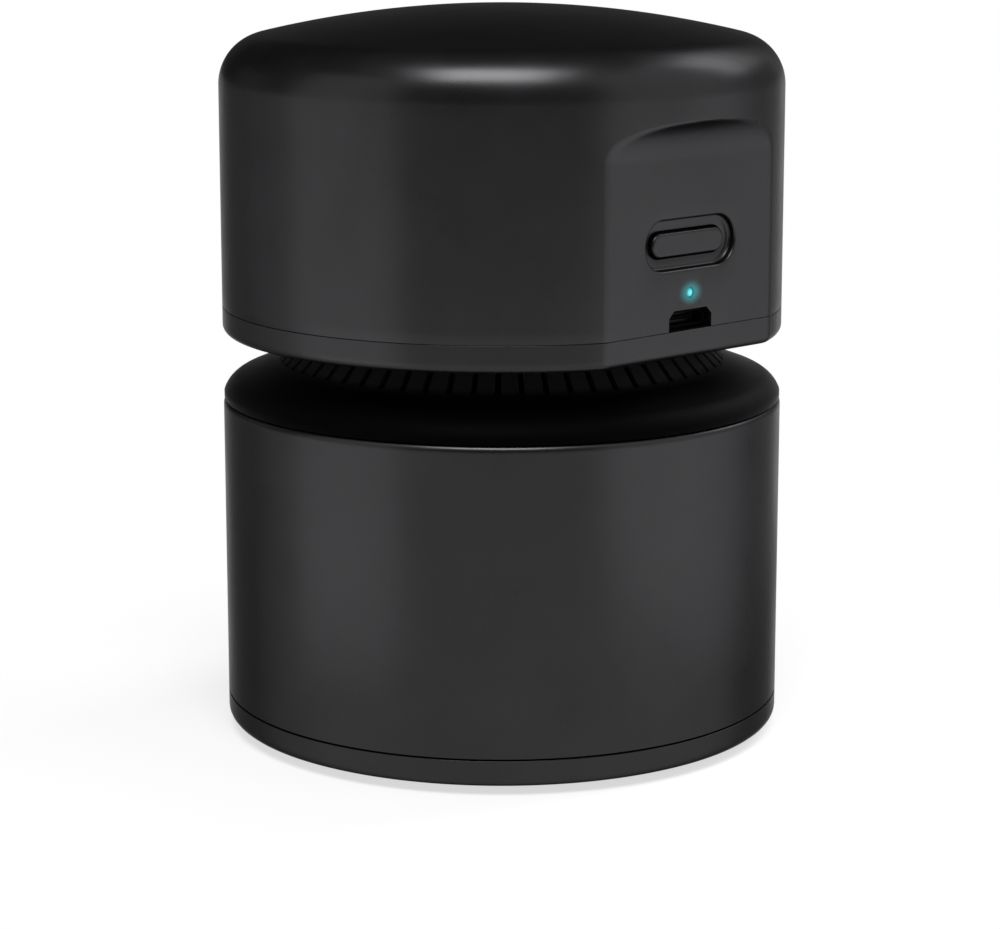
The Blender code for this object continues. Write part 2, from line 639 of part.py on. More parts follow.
def base_cover():
    """Floor cover with the suction mouth, the brush groove and a lip that centres it in the cup."""
    groove_top = BASE_PLATE_BOTTOM + BRUSH_GROOVE_DEPTH
    lip_inner = LIP_RADIUS - LIP_WALL
    lip_top = BASE_TOP + BASE_LIP_HEIGHT
    profile = [
        (BODY_RADIUS, BASE_TOP),
        *lower_edge(BASE_BOTTOM, BASE_EDGE_ROUND),
        (BODY_RADIUS - BASE_SKIRT_WALL, BASE_BOTTOM),
        (BODY_RADIUS - BASE_SKIRT_WALL, BASE_PLATE_BOTTOM),
        (GROOVE_OUTER_RADIUS, BASE_PLATE_BOTTOM),
        (GROOVE_OUTER_RADIUS, groove_top),
        (GROOVE_INNER_RADIUS, groove_top),
        (GROOVE_INNER_RADIUS, BASE_PLATE_BOTTOM),
        (INTAKE_RADIUS + MOUTH_FLARE, BASE_PLATE_BOTTOM),
        (INTAKE_RADIUS, BASE_TOP - EDGE_BREAK),
        (INTAKE_RADIUS, BASE_TOP),
        (lip_inner, BASE_TOP),
        (lip_inner, lip_top),
        (LIP_RADIUS, lip_top),
        (LIP_RADIUS, BASE_TOP),
    ]
    cover = turned("base_cover", profile, "shell_black")
    places = circle_places(BASE_SCREW_CIRCLE, BASE_SCREW_COUNT)
    hole = BASE_SCREW["shank"] + SCREW_HOLE_GAP
    sink = BASE_SCREW["head"] + TOUCH_GAP
    sink_top = BASE_PLATE_BOTTOM + BASE_SCREW["deep"] + TOUCH_GAP
    boolean(cover, pegs("base_screw_sinks", places, sink, BASE_PLATE_BOTTOM - CUT_OVERRUN, sink_top))
    boolean(cover, pegs("base_screw_holes", places, hole, BASE_BOTTOM, BASE_TOP + CUT_OVERRUN))
    tip = CUP_FLOOR_TOP - 2 * SCREW_TIP_GAP
    for i, (x, y) in enumerate(places):
        seat = sink_top - TOUCH_GAP
        screw(f"base_screw_{i + 1}", "base_screw", BASE_SCREW, tip - seat, (x, y, seat))


def feet():
    """Glide feet stuck under the base cover, inside the brush."""
    for i, at in enumerate(circle_places(FOOT_CIRCLE, FOOT_COUNT, math.pi / 4)):
        cylinder(f"foot_{i + 1}", FOOT_RADIUS, 0, BASE_PLATE_BOTTOM - TOUCH_GAP, "rubber_black", at=at)


def brush_ring():
    """Bristle ring round the mouth, parted into tufts so that air can pass between them."""
    top = BASE_PLATE_BOTTOM + BRUSH_GROOVE_DEPTH - TOUCH_GAP
    backing_bottom = top - BRUSH_BACKING_HEIGHT
    backing = BRUSH_BACKING_WIDTH / 2
    bristle = BRUSH_BRISTLE_WIDTH / 2
    profile = [
        (BRUSH_RADIUS + backing, top),
        (BRUSH_RADIUS + backing, backing_bottom),
        (BRUSH_RADIUS + bristle, backing_bottom),
        (BRUSH_RADIUS + bristle, BRUSH_TIP_CLEARANCE),
        (BRUSH_RADIUS - bristle, BRUSH_TIP_CLEARANCE),
        (BRUSH_RADIUS - bristle, backing_bottom),
        (BRUSH_RADIUS - backing, backing_bottom),
        (BRUSH_RADIUS - backing, top),
    ]
    brush = turned("brush_ring", profile, "bristle_black", 3 * BRUSH_TUFT_COUNT)
    shape = bmesh.new()
    reach = BRUSH_BACKING_WIDTH + CUT_OVERRUN
    low = -CUT_OVERRUN
    for i in range(BRUSH_TUFT_COUNT):
        made = bmesh.ops.create_cube(shape, size=1)
        size = Matrix.Diagonal((reach, BRUSH_TUFT_GAP, backing_bottom - low, 1))
        middle = Matrix.Translation((BRUSH_RADIUS, 0, (backing_bottom + low) / 2))
        turn = Matrix.Rotation(2 * math.pi * i / BRUSH_TUFT_COUNT, 4, "Z")
        bmesh.ops.transform(shape, verts=made["verts"], matrix=turn @ middle @ size)
    mesh = bpy.data.meshes.new("brush_partings")
    shape.to_mesh(mesh)
    shape.free()
    boolean(brush, place(bpy.data.objects.new("brush_partings", mesh)))


def dust_cup():
    """Wall of the dust cup, with a rebate at its foot that the floor is clamped into."""
    rebate = INNER_RADIUS + CUP_REBATE_DEPTH
    rebate_top = CUP_FLOOR_TOP + TOUCH_GAP
    profile = [
        (BODY_RADIUS - EDGE_BREAK, CUP_RIM),
        (BODY_RADIUS, CUP_RIM - EDGE_BREAK),
        (BODY_RADIUS, CUP_BOTTOM),
        (rebate, CUP_BOTTOM),
        (rebate, rebate_top),
        (INNER_RADIUS, rebate_top),
        (INNER_RADIUS, CUP_RIM),
    ]
    turned("dust_cup", profile, "shell_black")


def cup_floor():
    """Floor of the dust cup, with bosses under it for the base's screws and a hole for the intake tube."""
    hole = INTAKE_OUTER_RADIUS + TOUCH_GAP
    edge = INNER_RADIUS + CUP_REBATE_DEPTH - TOUCH_GAP
    profile = [
        (edge, CUP_FLOOR_TOP), (edge, CUP_FLOOR_BOTTOM), (hole, CUP_FLOOR_BOTTOM), (hole, CUP_FLOOR_TOP),
    ]
    floor = turned("cup_floor", profile, "shell_black")
    places = circle_places(BASE_SCREW_CIRCLE, BASE_SCREW_COUNT)
    boss = BASE_SCREW["shank"] + BASE_BOSS_WALL
    hole = BASE_SCREW["shank"] + SCREW_HOLE_GAP
    boss_bottom = BASE_TOP + TOUCH_GAP
    boss_top = CUP_FLOOR_BOTTOM + FUSE_DEPTH
    boolean(floor, pegs("cup_bosses", places, boss, boss_bottom, boss_top), "UNION")
    boolean(floor, pegs("cup_pilots", places, hole, BASE_TOP - CUT_OVERRUN, CUP_FLOOR_TOP - SCREW_TIP_GAP))


def intake_tube():
    """Tube that lifts the dust over the cup's floor, so that it stays in when the fan stops."""
    bottom = BASE_TOP + TOUCH_GAP
    collar = INTAKE_OUTER_RADIUS + INTAKE_COLLAR_WIDTH
    collar_bottom = CUP_FLOOR_TOP + TOUCH_GAP
    collar_top = collar_bottom + INTAKE_COLLAR_THICKNESS
    profile = [
        (INTAKE_OUTER_RADIUS - EDGE_BREAK, INTAKE_TOP),
        (INTAKE_OUTER_RADIUS, INTAKE_TOP - EDGE_BREAK),
        (INTAKE_OUTER_RADIUS, collar_top),
        (collar, collar_top),
        (collar, collar_bottom),
        (INTAKE_OUTER_RADIUS, collar_bottom),
        (INTAKE_OUTER_RADIUS, bottom),
        (INTAKE_RADIUS, bottom),
        (INTAKE_RADIUS, INTAKE_TOP - EDGE_BREAK),
        (INTAKE_RADIUS + EDGE_BREAK, INTAKE_TOP),
    ]
    turned("intake_tube", profile, "shell_black", WHEEL_STEPS)


def rounded_shoulder():
    """Points of the shoulder's round, from the foot of its slope out to its edge."""
    centre = (
        SHOULDER_RADIUS - SHOULDER_ROUND * math.sin(SHOULDER_EDGE_ANGLE),
        SHOULDER_TOP - SHOULDER_ROUND * math.cos(SHOULDER_EDGE_ANGLE),
    )
    start = math.pi / 2 - SHOULDER_SLOPE
    end = math.pi / 2 - SHOULDER_EDGE_ANGLE
    return arc_points(centre, SHOULDER_ROUND, start, end, SHOULDER_ROUND_STEPS)


def inset_corner(point, first, second, inset):
    """The corner between two slopes, moved in and down so that both walls keep the same thickness."""
    turn = 1 + math.cos(second - first)
    x = point[0] - inset * (math.sin(first) + math.sin(second)) / turn
    z = point[1] - inset * (math.cos(first) + math.cos(second)) / turn
    return x, z


def vent_shroud():
    """Shoulder, slotted cone and skirt in one moulding, one flat step to each slot."""
    flare = rounded_shoulder()
    foot_level = flare[0][1] + (flare[0][0] - CONE_FOOT_RADIUS) * math.tan(SHOULDER_SLOPE)
    foot = (CONE_FOOT_RADIUS, foot_level)
    neck_level = foot_level + CONE_HEIGHT
    inner_foot = inset_corner(foot, SHOULDER_SLOPE, CONE_SLOPE, NECK_WALL)
    inner_neck = NECK_RADIUS - NECK_WALL
    inner_level = inner_foot[1] + (inner_foot[0] - inner_neck) * math.tan(CONE_SLOPE)
    inner_edge = inner_foot[1] - (SKIRT_INNER_RADIUS - inner_foot[0]) * math.tan(SHOULDER_SLOPE)
    groove_floor = LIP_RADIUS - SEAL_GROOVE_DEPTH
    groove_top = SEAL_LEVEL + SEAL_GROOVE_HEIGHT / 2
    groove_bottom = SEAL_LEVEL - SEAL_GROOVE_HEIGHT / 2
    profile = [
        (NECK_RADIUS, NECK_TOP),
        (NECK_RADIUS, neck_level),
        foot,
        *flare,
        (SHOULDER_RADIUS, SHOULDER_BOTTOM),
        (LIP_RADIUS, SHOULDER_BOTTOM),
        (LIP_RADIUS, groove_top),
        (groove_floor, groove_top),
        (groove_floor, groove_bottom),
        (LIP_RADIUS, groove_bottom),
        (LIP_RADIUS, SKIRT_BOTTOM),
        (SKIRT_INNER_RADIUS, SKIRT_BOTTOM),
        (SKIRT_INNER_RADIUS, inner_edge),
        inner_foot,
        (inner_neck, inner_level),
        (inner_neck, NECK_TOP),
    ]
    shroud = turned("vent_shroud", profile, "neck_black", VENT_COUNT)
    slot_top = NECK_TOP - VENT_END_MARGIN
    inside = inner_neck - CUT_OVERRUN
    outside = CONE_FOOT_RADIUS + VENT_END_MARGIN
    shape = bmesh.new()
    for i in range(VENT_COUNT):
        made = bmesh.ops.create_cube(shape, size=1)
        size = Matrix.Diagonal((outside - inside, VENT_WIDTH, slot_top - foot_level, 1))
        middle = Matrix.Translation(((outside + inside) / 2, 0, (slot_top + foot_level) / 2))
        turn = Matrix.Rotation(2 * math.pi * (i + 0.5) / VENT_COUNT, 4, "Z")
        bmesh.ops.transform(shape, verts=made["verts"], matrix=turn @ middle @ size)
    mesh = bpy.data.meshes.new("vent_slots")
    shape.to_mesh(mesh)
    shape.free()
    boolean(shroud, place(bpy.data.objects.new("vent_slots", mesh)))


def seal_ring():
    """Rubber ring in the skirt's groove that seals the cup and holds it by friction."""
    groove_floor = LIP_RADIUS - SEAL_GROOVE_DEPTH
    middle = groove_floor + SEAL_SECTION_RADIUS + FINE_GAP
    section = arc_points((middle, SEAL_LEVEL), SEAL_SECTION_RADIUS, 0, -2 * math.pi, SEAL_SIDES)
    turned("seal_ring", section[:-1], "rubber_black")


def inlet_plate():
    """Plate under the fan: inlet, filter spigot and the pillars that clamp the neck to the head."""
    profile = [
        (SKIRT_INNER_RADIUS - TOUCH_GAP, INLET_PLATE_TOP),
        (SKIRT_INNER_RADIUS - TOUCH_GAP, INLET_PLATE_BOTTOM),
        (SPIGOT_RADIUS, INLET_PLATE_BOTTOM),
        (SPIGOT_RADIUS, SPIGOT_BOTTOM),
        (SPIGOT_RADIUS - SPIGOT_WALL, SPIGOT_BOTTOM),
        (SPIGOT_RADIUS - SPIGOT_WALL, INLET_PLATE_BOTTOM),
        (INLET_RADIUS + EDGE_BREAK, INLET_PLATE_BOTTOM),
        (INLET_RADIUS, INLET_PLATE_BOTTOM + EDGE_BREAK),
        (INLET_RADIUS, INLET_PLATE_TOP),
    ]
    plate = turned("inlet_plate", profile, "inner_black", WHEEL_STEPS)
    places = circle_places(PILLAR_CIRCLE, PILLAR_COUNT)
    bottom = INLET_PLATE_TOP - FUSE_DEPTH
    boolean(plate, pegs("inlet_pillars", places, PILLAR_RADIUS, bottom, NECK_TOP), "UNION")
    hole = SHELL_SCREW["shank"] + SCREW_HOLE_GAP
    low = INLET_PLATE_BOTTOM - CUT_OVERRUN
    boolean(plate, pegs("pillar_holes", places, hole, low, NECK_TOP + CUT_OVERRUN, SCREW_STEPS))
    seat = INLET_PLATE_BOTTOM - TOUCH_GAP
    length = PILLAR_SCREW_TOP - SCREW_TIP_GAP - seat
    for i, (x, y) in enumerate(places):
        screw(f"pillar_screw_{i + 1}", "pillar_screw", SHELL_SCREW, length, (x, y, seat))


def filter_parts():
    """Pleated filter cartridge: a ring that grips the spigot, the pleated medium and a closed end cap."""
    profile = [
        (FILTER_RADIUS, INLET_PLATE_BOTTOM - TOUCH_GAP),
        (FILTER_RADIUS, FILTER_FLANGE_TOP - FILTER_FLANGE_THICKNESS),
        (FILTER_RADIUS - FILTER_FLANGE_WIDTH, FILTER_FLANGE_TOP - FILTER_FLANGE_THICKNESS),
        (FILTER_RADIUS - FILTER_FLANGE_WIDTH, FILTER_FLANGE_TOP),
        (FILTER_INNER_RADIUS, FILTER_FLANGE_TOP),
        (FILTER_INNER_RADIUS, INLET_PLATE_BOTTOM - TOUCH_GAP),
    ]
    turned("filter_ring", profile, "inner_black", WHEEL_STEPS)
    crest = FILTER_RADIUS - FILTER_MEDIA_INSET
    valley = crest - FILTER_PLEAT_DEPTH
    outer, inner = [], []
    for i in range(2 * FILTER_PLEAT_COUNT):
        angle = math.pi * i / FILTER_PLEAT_COUNT
        radius = crest if i % 2 == 0 else valley
        outer.append((radius * math.cos(angle), radius * math.sin(angle)))
        radius -= 2 * FILTER_MEDIA_THICKNESS
        inner.append((radius * math.cos(angle), radius * math.sin(angle)))
    prism("filter_medium", [outer, inner], FILTER_MEDIA_BOTTOM, FILTER_MEDIA_TOP, "filter_white")
    cylinder(
        "filter_cap", FILTER_RADIUS, FILTER_CAP_BOTTOM, FILTER_CAP_TOP, "inner_black", WHEEL_STEPS,
        bevel=EDGE_BREAK,
    )


def head_places():
    return circle_places(INNER_RADIUS - HEAD_BOSS_RADIUS + FUSE_DEPTH, HEAD_BOSS_COUNT)


def head_base():
    """Floor of the power head: carries the motor, the tray and the neck, and closes the shell."""
    lip_inner = LIP_RADIUS - LIP_WALL
    nose_hole = MOTOR_NOSE_RADIUS + TOUCH_GAP
    profile = [
        (BODY_RADIUS, HEAD_RING_TOP),
        *lower_edge(HEAD_BOTTOM, HEAD_EDGE_ROUND),
        (nose_hole, HEAD_BOTTOM),
        (nose_hole, HEAD_PLATE_TOP),
        (lip_inner, HEAD_PLATE_TOP),
        (lip_inner, HEAD_LIP_TOP),
        (LIP_RADIUS, HEAD_LIP_TOP),
        (LIP_RADIUS, HEAD_RING_TOP),
    ]
    base = turned("head_base", profile, "shell_black")
    reach = PANEL_HALF_CHORD * PANEL_BAR_SHARE
    bar = box(
        "panel_sill", (-reach, PANEL_Y - FUSE_DEPTH, HEAD_PLATE_TOP - FUSE_DEPTH),
        (reach, PANEL_INNER_Y, HEAD_RING_TOP),
    )
    boolean(base, bar, "UNION")
    pillar = circle_places(PILLAR_CIRCLE, PILLAR_COUNT)
    boss = SHELL_SCREW["shank"] + PILLAR_SCREW_BOSS_WALL
    low = HEAD_PLATE_TOP - FUSE_DEPTH
    boolean(base, pegs("pillar_bosses", pillar, boss, low, PILLAR_SCREW_TOP), "UNION")
    corner = head_places()
    seat = HEAD_BOSS_RADIUS - FUSE_DEPTH - 2 * TOUCH_GAP
    boolean(base, pegs("corner_bosses", corner, seat, low, HEAD_LIP_TOP), "UNION")
    wide = 2 * BODY_RADIUS
    under = HEAD_BOTTOM - CUT_OVERRUN
    over = HEAD_LIP_TOP + CUT_OVERRUN
    boolean(base, box("head_base_flat", (-wide, -wide, under), (wide, PANEL_Y, over)))
    inside = PANEL_INNER_Y + TOUCH_GAP
    boolean(base, box("lip_flat", (-wide, -wide, HEAD_RING_TOP), (wide, inside, over)))
    hole = SHELL_SCREW["shank"] + SCREW_HOLE_GAP
    boolean(base, pegs("pillar_pilots", pillar, hole, under, PILLAR_SCREW_TOP + CUT_OVERRUN))
    boolean(base, pegs("corner_holes", corner, hole, under, over))
    sink = SHELL_SCREW["head"] + TOUCH_GAP
    sink_top = HEAD_BOTTOM + SHELL_SCREW["deep"] + TOUCH_GAP
    boolean(base, pegs("corner_sinks", corner, sink, under, sink_top))
    half = MOTOR_SCREW_SPACING / 2
    motor = [(half, 0), (-half, 0)]
    fine = FINE_SCREW["shank"] + SCREW_HOLE_GAP
    fine_sink = FINE_SCREW["head"] + TOUCH_GAP
    fine_top = HEAD_BOTTOM + FINE_SCREW["deep"] + SCREW_HOLE_GAP
    boolean(base, pegs("motor_holes", motor, fine, under, HEAD_PLATE_TOP + CUT_OVERRUN))
    boolean(base, pegs("motor_sinks", motor, fine_sink, under, fine_top))
    for i, (x, y) in enumerate(corner):
        low = sink_top - TOUCH_GAP
        length = HEAD_LIP_TOP + SCREW_BITE - low
        screw(f"head_screw_{i + 1}", "head_screw", SHELL_SCREW, length, (x, y, low))
    for i, (x, y) in enumerate(motor):
        low = fine_top - SCREW_HOLE_GAP
        length = MOTOR_BOTTOM + MOTOR_CAN_METAL - low
        screw(f"motor_screw_{i + 1}", "motor_screw", FINE_SCREW, length, (x, y, low))


def dome_profile(radius, top, dome, corner, bottom):
    """Profile of a solid domed cylinder, from the axis over the dome and down the side."""
    centre = top - dome
    reach = radius - corner
    height = centre + math.sqrt((dome - corner) ** 2 - reach**2)
    lean = math.atan2(height - centre, reach)
    crown = [(0, top)]
    for i in range(1, DOME_STEPS):
        angle = math.pi / 2 - (math.pi / 2 - lean) * i / DOME_STEPS
        crown.append((dome * math.cos(angle), centre + dome * math.sin(angle)))
    side = arc_points((reach, height), corner, lean, 0, CORNER_STEPS)
    return [*crown, *side, (radius, bottom), (0, bottom)]


def scoop(name, inset):
    """Cutter for the control panel's flat and the cove at its top, moved into the head by the inset."""
    face = PANEL_Y + inset
    centre = PANEL_Y - PANEL_COVE_RADIUS
    outside = min(-BODY_RADIUS, centre) - CUT_OVERRUN
    bottom = HEAD_SHELL_BOTTOM - CUT_OVERRUN
    radius = PANEL_COVE_RADIUS + inset
    arc = arc_points((centre, PANEL_TOP), radius, 0, math.pi / 2, PANEL_COVE_STEPS)
    outline = [(outside, bottom), (face, bottom), *arc, (outside, PANEL_TOP + radius)]
    return prism(name, [outline], -2 * BODY_RADIUS, 2 * BODY_RADIUS, facing="side")


def head_shell():
    """Domed cap with the control panel cut in its side, and bosses for its screws inside."""
    outside = dome_profile(BODY_RADIUS, HEAD_TOP, DOME_RADIUS, CORNER_RADIUS, HEAD_SHELL_BOTTOM)
    shell = turned("head_shell", outside, "shell_black")
    inside = dome_profile(
        INNER_RADIUS, HEAD_TOP - SHELL_WALL, DOME_RADIUS - SHELL_WALL,
        CORNER_RADIUS - SHELL_WALL, HEAD_SHELL_BOTTOM - CUT_OVERRUN,
    )
    core = turned("head_core", inside)
    boolean(core, scoop("scoop_inner", PANEL_WALL))
    boolean(shell, scoop("scoop_outer", 0.0))
    boolean(shell, core)
    places = head_places()
    low = HEAD_LIP_TOP + TOUCH_GAP
    bosses = pegs("head_bosses", places, HEAD_BOSS_RADIUS, low, low + HEAD_BOSS_HEIGHT)
    boolean(shell, bosses, "UNION")
    pilot = SHELL_SCREW["shank"] + SCREW_HOLE_GAP
    tip = HEAD_LIP_TOP + SCREW_BITE + SCREW_TIP_GAP
    boolean(shell, pegs("head_pilots", places, pilot, low - CUT_OVERRUN, tip))
    board_places = board_screw_places()
    front = PANEL_INNER_Y - FUSE_DEPTH
    back = BOARD_FRONT_Y - TOUCH_GAP
    boolean(shell, rods("board_bosses", board_places, BOARD_BOSS_RADIUS, front, back), "UNION")
    pilot = FINE_SCREW["shank"] + SCREW_HOLE_GAP
    boolean(shell, rods("board_pilots", board_places, pilot, PANEL_INNER_Y, back + CUT_OVERRUN))
    recess = stadium(BUTTON_LENGTH + 2 * RECESS_MARGIN, BUTTON_WIDTH + 2 * RECESS_MARGIN)
    floor = PANEL_Y + RECESS_DEPTH
    at = (0, 0, BUTTON_LEVEL)
    boolean(shell, prism("button_recess", [recess], PANEL_Y - CUT_OVERRUN, floor, facing="front", at=at))
    opening = stadium(BUTTON_LENGTH + 2 * BUTTON_GAP, BUTTON_WIDTH + 2 * BUTTON_GAP)
    back = PANEL_INNER_Y + CUT_OVERRUN / 2
    boolean(shell, prism("button_opening", [opening], PANEL_Y, back, facing="front", at=at))
    lamp = [(0, LAMP_LEVEL)]
    boolean(shell, rods("lamp_hole", lamp, LAMP_RADIUS + LAMP_GAP, PANEL_Y - CUT_OVERRUN, back))
    half = SOCKET_NOTCH_WIDTH / 2
    top = HEAD_SHELL_BOTTOM + SOCKET_NOTCH_HEIGHT
    low = HEAD_SHELL_BOTTOM - CUT_OVERRUN
    notch = [
        (-half, low), (half, low), (half, top - SOCKET_NOTCH_CHAMFER),
        (half - SOCKET_NOTCH_CHAMFER, top), (-half + SOCKET_NOTCH_CHAMFER, top),
        (-half, top - SOCKET_NOTCH_CHAMFER),
    ]
    boolean(shell, prism("socket_notch", [notch], PANEL_Y - CUT_OVERRUN, back, facing="front"))


def board_screw_places():
    half = BOARD_SCREW_SPACING / 2
    level = BOARD_TOP - BOARD_SCREW_DROP
    return [(-half, level), (half, level)]


def power_button():
    """Button cap with a flange behind the panel, and the switch plunger that it pushes."""
    at = (0, 0, BUTTON_LEVEL)
    face = PANEL_Y + BUTTON_SINK
    flange_front = PANEL_INNER_Y + TOUCH_GAP
    flange_back = flange_front + BUTTON_FLANGE_THICKNESS
    outline = stadium(BUTTON_LENGTH, BUTTON_WIDTH)
    cap_back = flange_front + BUTTON_FLANGE_THICKNESS / 2
    cap = prism("power_button", [outline], face, cap_back, "button_black", "front", at)
    add_bevel(cap, BUTTON_BEVEL, 2)
    margin = 2 * BUTTON_FLANGE_MARGIN
    rim = stadium(BUTTON_LENGTH + margin, BUTTON_WIDTH + margin)
    boolean(cap, prism("button_flange", [rim], flange_front, flange_back, facing="front", at=at), "UNION")
    front = flange_back + TOUCH_GAP
    length = switch_front() - front + SWITCH_HOLE_DEPTH - BUTTON_TRAVEL - TOUCH_GAP
    plunger = cylinder("switch_plunger", SWITCH_PLUNGER_RADIUS, 0, length, "component_black")
    plunger.rotation_euler = (-math.pi / 2, 0, 0)
    plunger.location = (0, front + length / 2, BUTTON_LEVEL)


def switch_front():
    return BOARD_FRONT_Y - TOUCH_GAP - SWITCH_DEPTH


def control_board():
    """Board on two bosses behind the panel, with its switch, lamp, socket, chip and connector."""
    half = BOARD_WIDTH / 2
    board = box(
        "control_board", (-half, BOARD_FRONT_Y, BOARD_BOTTOM), (half, BOARD_BACK_Y, BOARD_TOP),
        "board_green",
    )
    places = board_screw_places()
    hole = FINE_SCREW["shank"] + SCREW_HOLE_GAP
    low = BOARD_FRONT_Y - CUT_OVERRUN
    boolean(board, rods("board_holes", places, hole, low, BOARD_BACK_Y + CUT_OVERRUN, SCREW_STEPS))
    seat = BOARD_BACK_Y + TOUCH_GAP
    length = seat - PANEL_INNER_Y - SCREW_TIP_GAP
    for i, (x, z) in enumerate(places):
        screw(f"board_screw_{i + 1}", "board_screw", FINE_SCREW, length, (x, seat, z), (math.pi / 2, 0, 0))
    side = SWITCH_SIDE / 2
    back = BOARD_FRONT_Y - TOUCH_GAP
    body = box(
        "switch_body", (-side, switch_front(), BUTTON_LEVEL - side), (side, back, BUTTON_LEVEL + side),
        "component_black",
    )
    well = rods(
        "switch_well", [(0, BUTTON_LEVEL)], SWITCH_PLUNGER_RADIUS + TOUCH_GAP,
        switch_front() - CUT_OVERRUN, switch_front() + SWITCH_HOLE_DEPTH,
    )
    boolean(body, well)
    wide, tall = LED_WIDTH / 2, LED_HEIGHT / 2
    box(
        "status_led", (-wide, back - LED_DEPTH, LAMP_LEVEL - tall), (wide, back, LAMP_LEVEL + tall),
        "nylon_white",
    )
    rear = BOARD_BACK_Y + TOUCH_GAP
    wide, tall = CHIP_WIDTH / 2, CHIP_HEIGHT / 2
    level = (BOARD_BOTTOM + BOARD_TOP) / 2
    box(
        "charge_chip", (-CONNECTOR_OFFSET - wide, rear, level - tall),
        (-CONNECTOR_OFFSET + wide, rear + CHIP_DEPTH, level + tall), "component_black",
    )
    wide, tall = CONNECTOR_WIDTH / 2, CONNECTOR_HEIGHT / 2
    box(
        "battery_connector", (CONNECTOR_OFFSET - wide, rear, level - tall),
        (CONNECTOR_OFFSET + wide, rear + CONNECTOR_DEPTH, level + tall), "nylon_white",
    )


def light_pipe():
    """Clear pin that carries the lamp's light through the panel, with a flange behind it."""
    flange = PANEL_INNER_Y + TOUCH_GAP
    front = PANEL_Y + LAMP_SINK
    back = BOARD_FRONT_Y - TOUCH_GAP - LED_DEPTH - TOUCH_GAP
    wide = LAMP_RADIUS + LAMP_FLANGE_MARGIN
    profile = [
        (0, -front), (LAMP_RADIUS, -front), (LAMP_RADIUS, -flange),
        (wide, -flange), (wide, -back), (0, -back),
    ]
    pipe = turned("light_pipe", profile, "lamp_cyan", SMALL_STEPS)
    pipe.rotation_euler = (math.pi / 2, 0, 0)
    pipe.location = (0, 0, LAMP_LEVEL)


def charging_socket():
    """Metal socket shell with its plastic tongue."""
    front = PANEL_Y + SOCKET_SINK
    back = BOARD_FRONT_Y - TOUCH_GAP
    at = (0, 0, SOCKET_LEVEL)
    outer = socket_outline(SOCKET_WIDTH, SOCKET_HEIGHT, SOCKET_CHAMFER)
    wall = 2 * SOCKET_METAL
    inner = socket_outline(SOCKET_WIDTH - wall, SOCKET_HEIGHT - wall, SOCKET_CHAMFER - SOCKET_METAL / 2)
    prism("socket_shell", [outer, inner], front, back, "plated_black", "front", at)
    loose = 2 * (SOCKET_METAL + FINE_GAP)
    plug = socket_outline(SOCKET_WIDTH - loose, SOCKET_HEIGHT - loose, SOCKET_CHAMFER)
    tongue = prism("socket_tongue", [plug], back - TONGUE_BASE_DEPTH, back, "component_black", "front", at)
    half, rise = TONGUE_WIDTH / 2, TONGUE_THICKNESS / 2
    blade = box(
        "tongue_blade", (-half, front + TONGUE_SINK, SOCKET_LEVEL - rise),
        (half, back - TONGUE_BASE_DEPTH / 2, SOCKET_LEVEL + rise),
    )
    boolean(tongue, blade, "UNION")


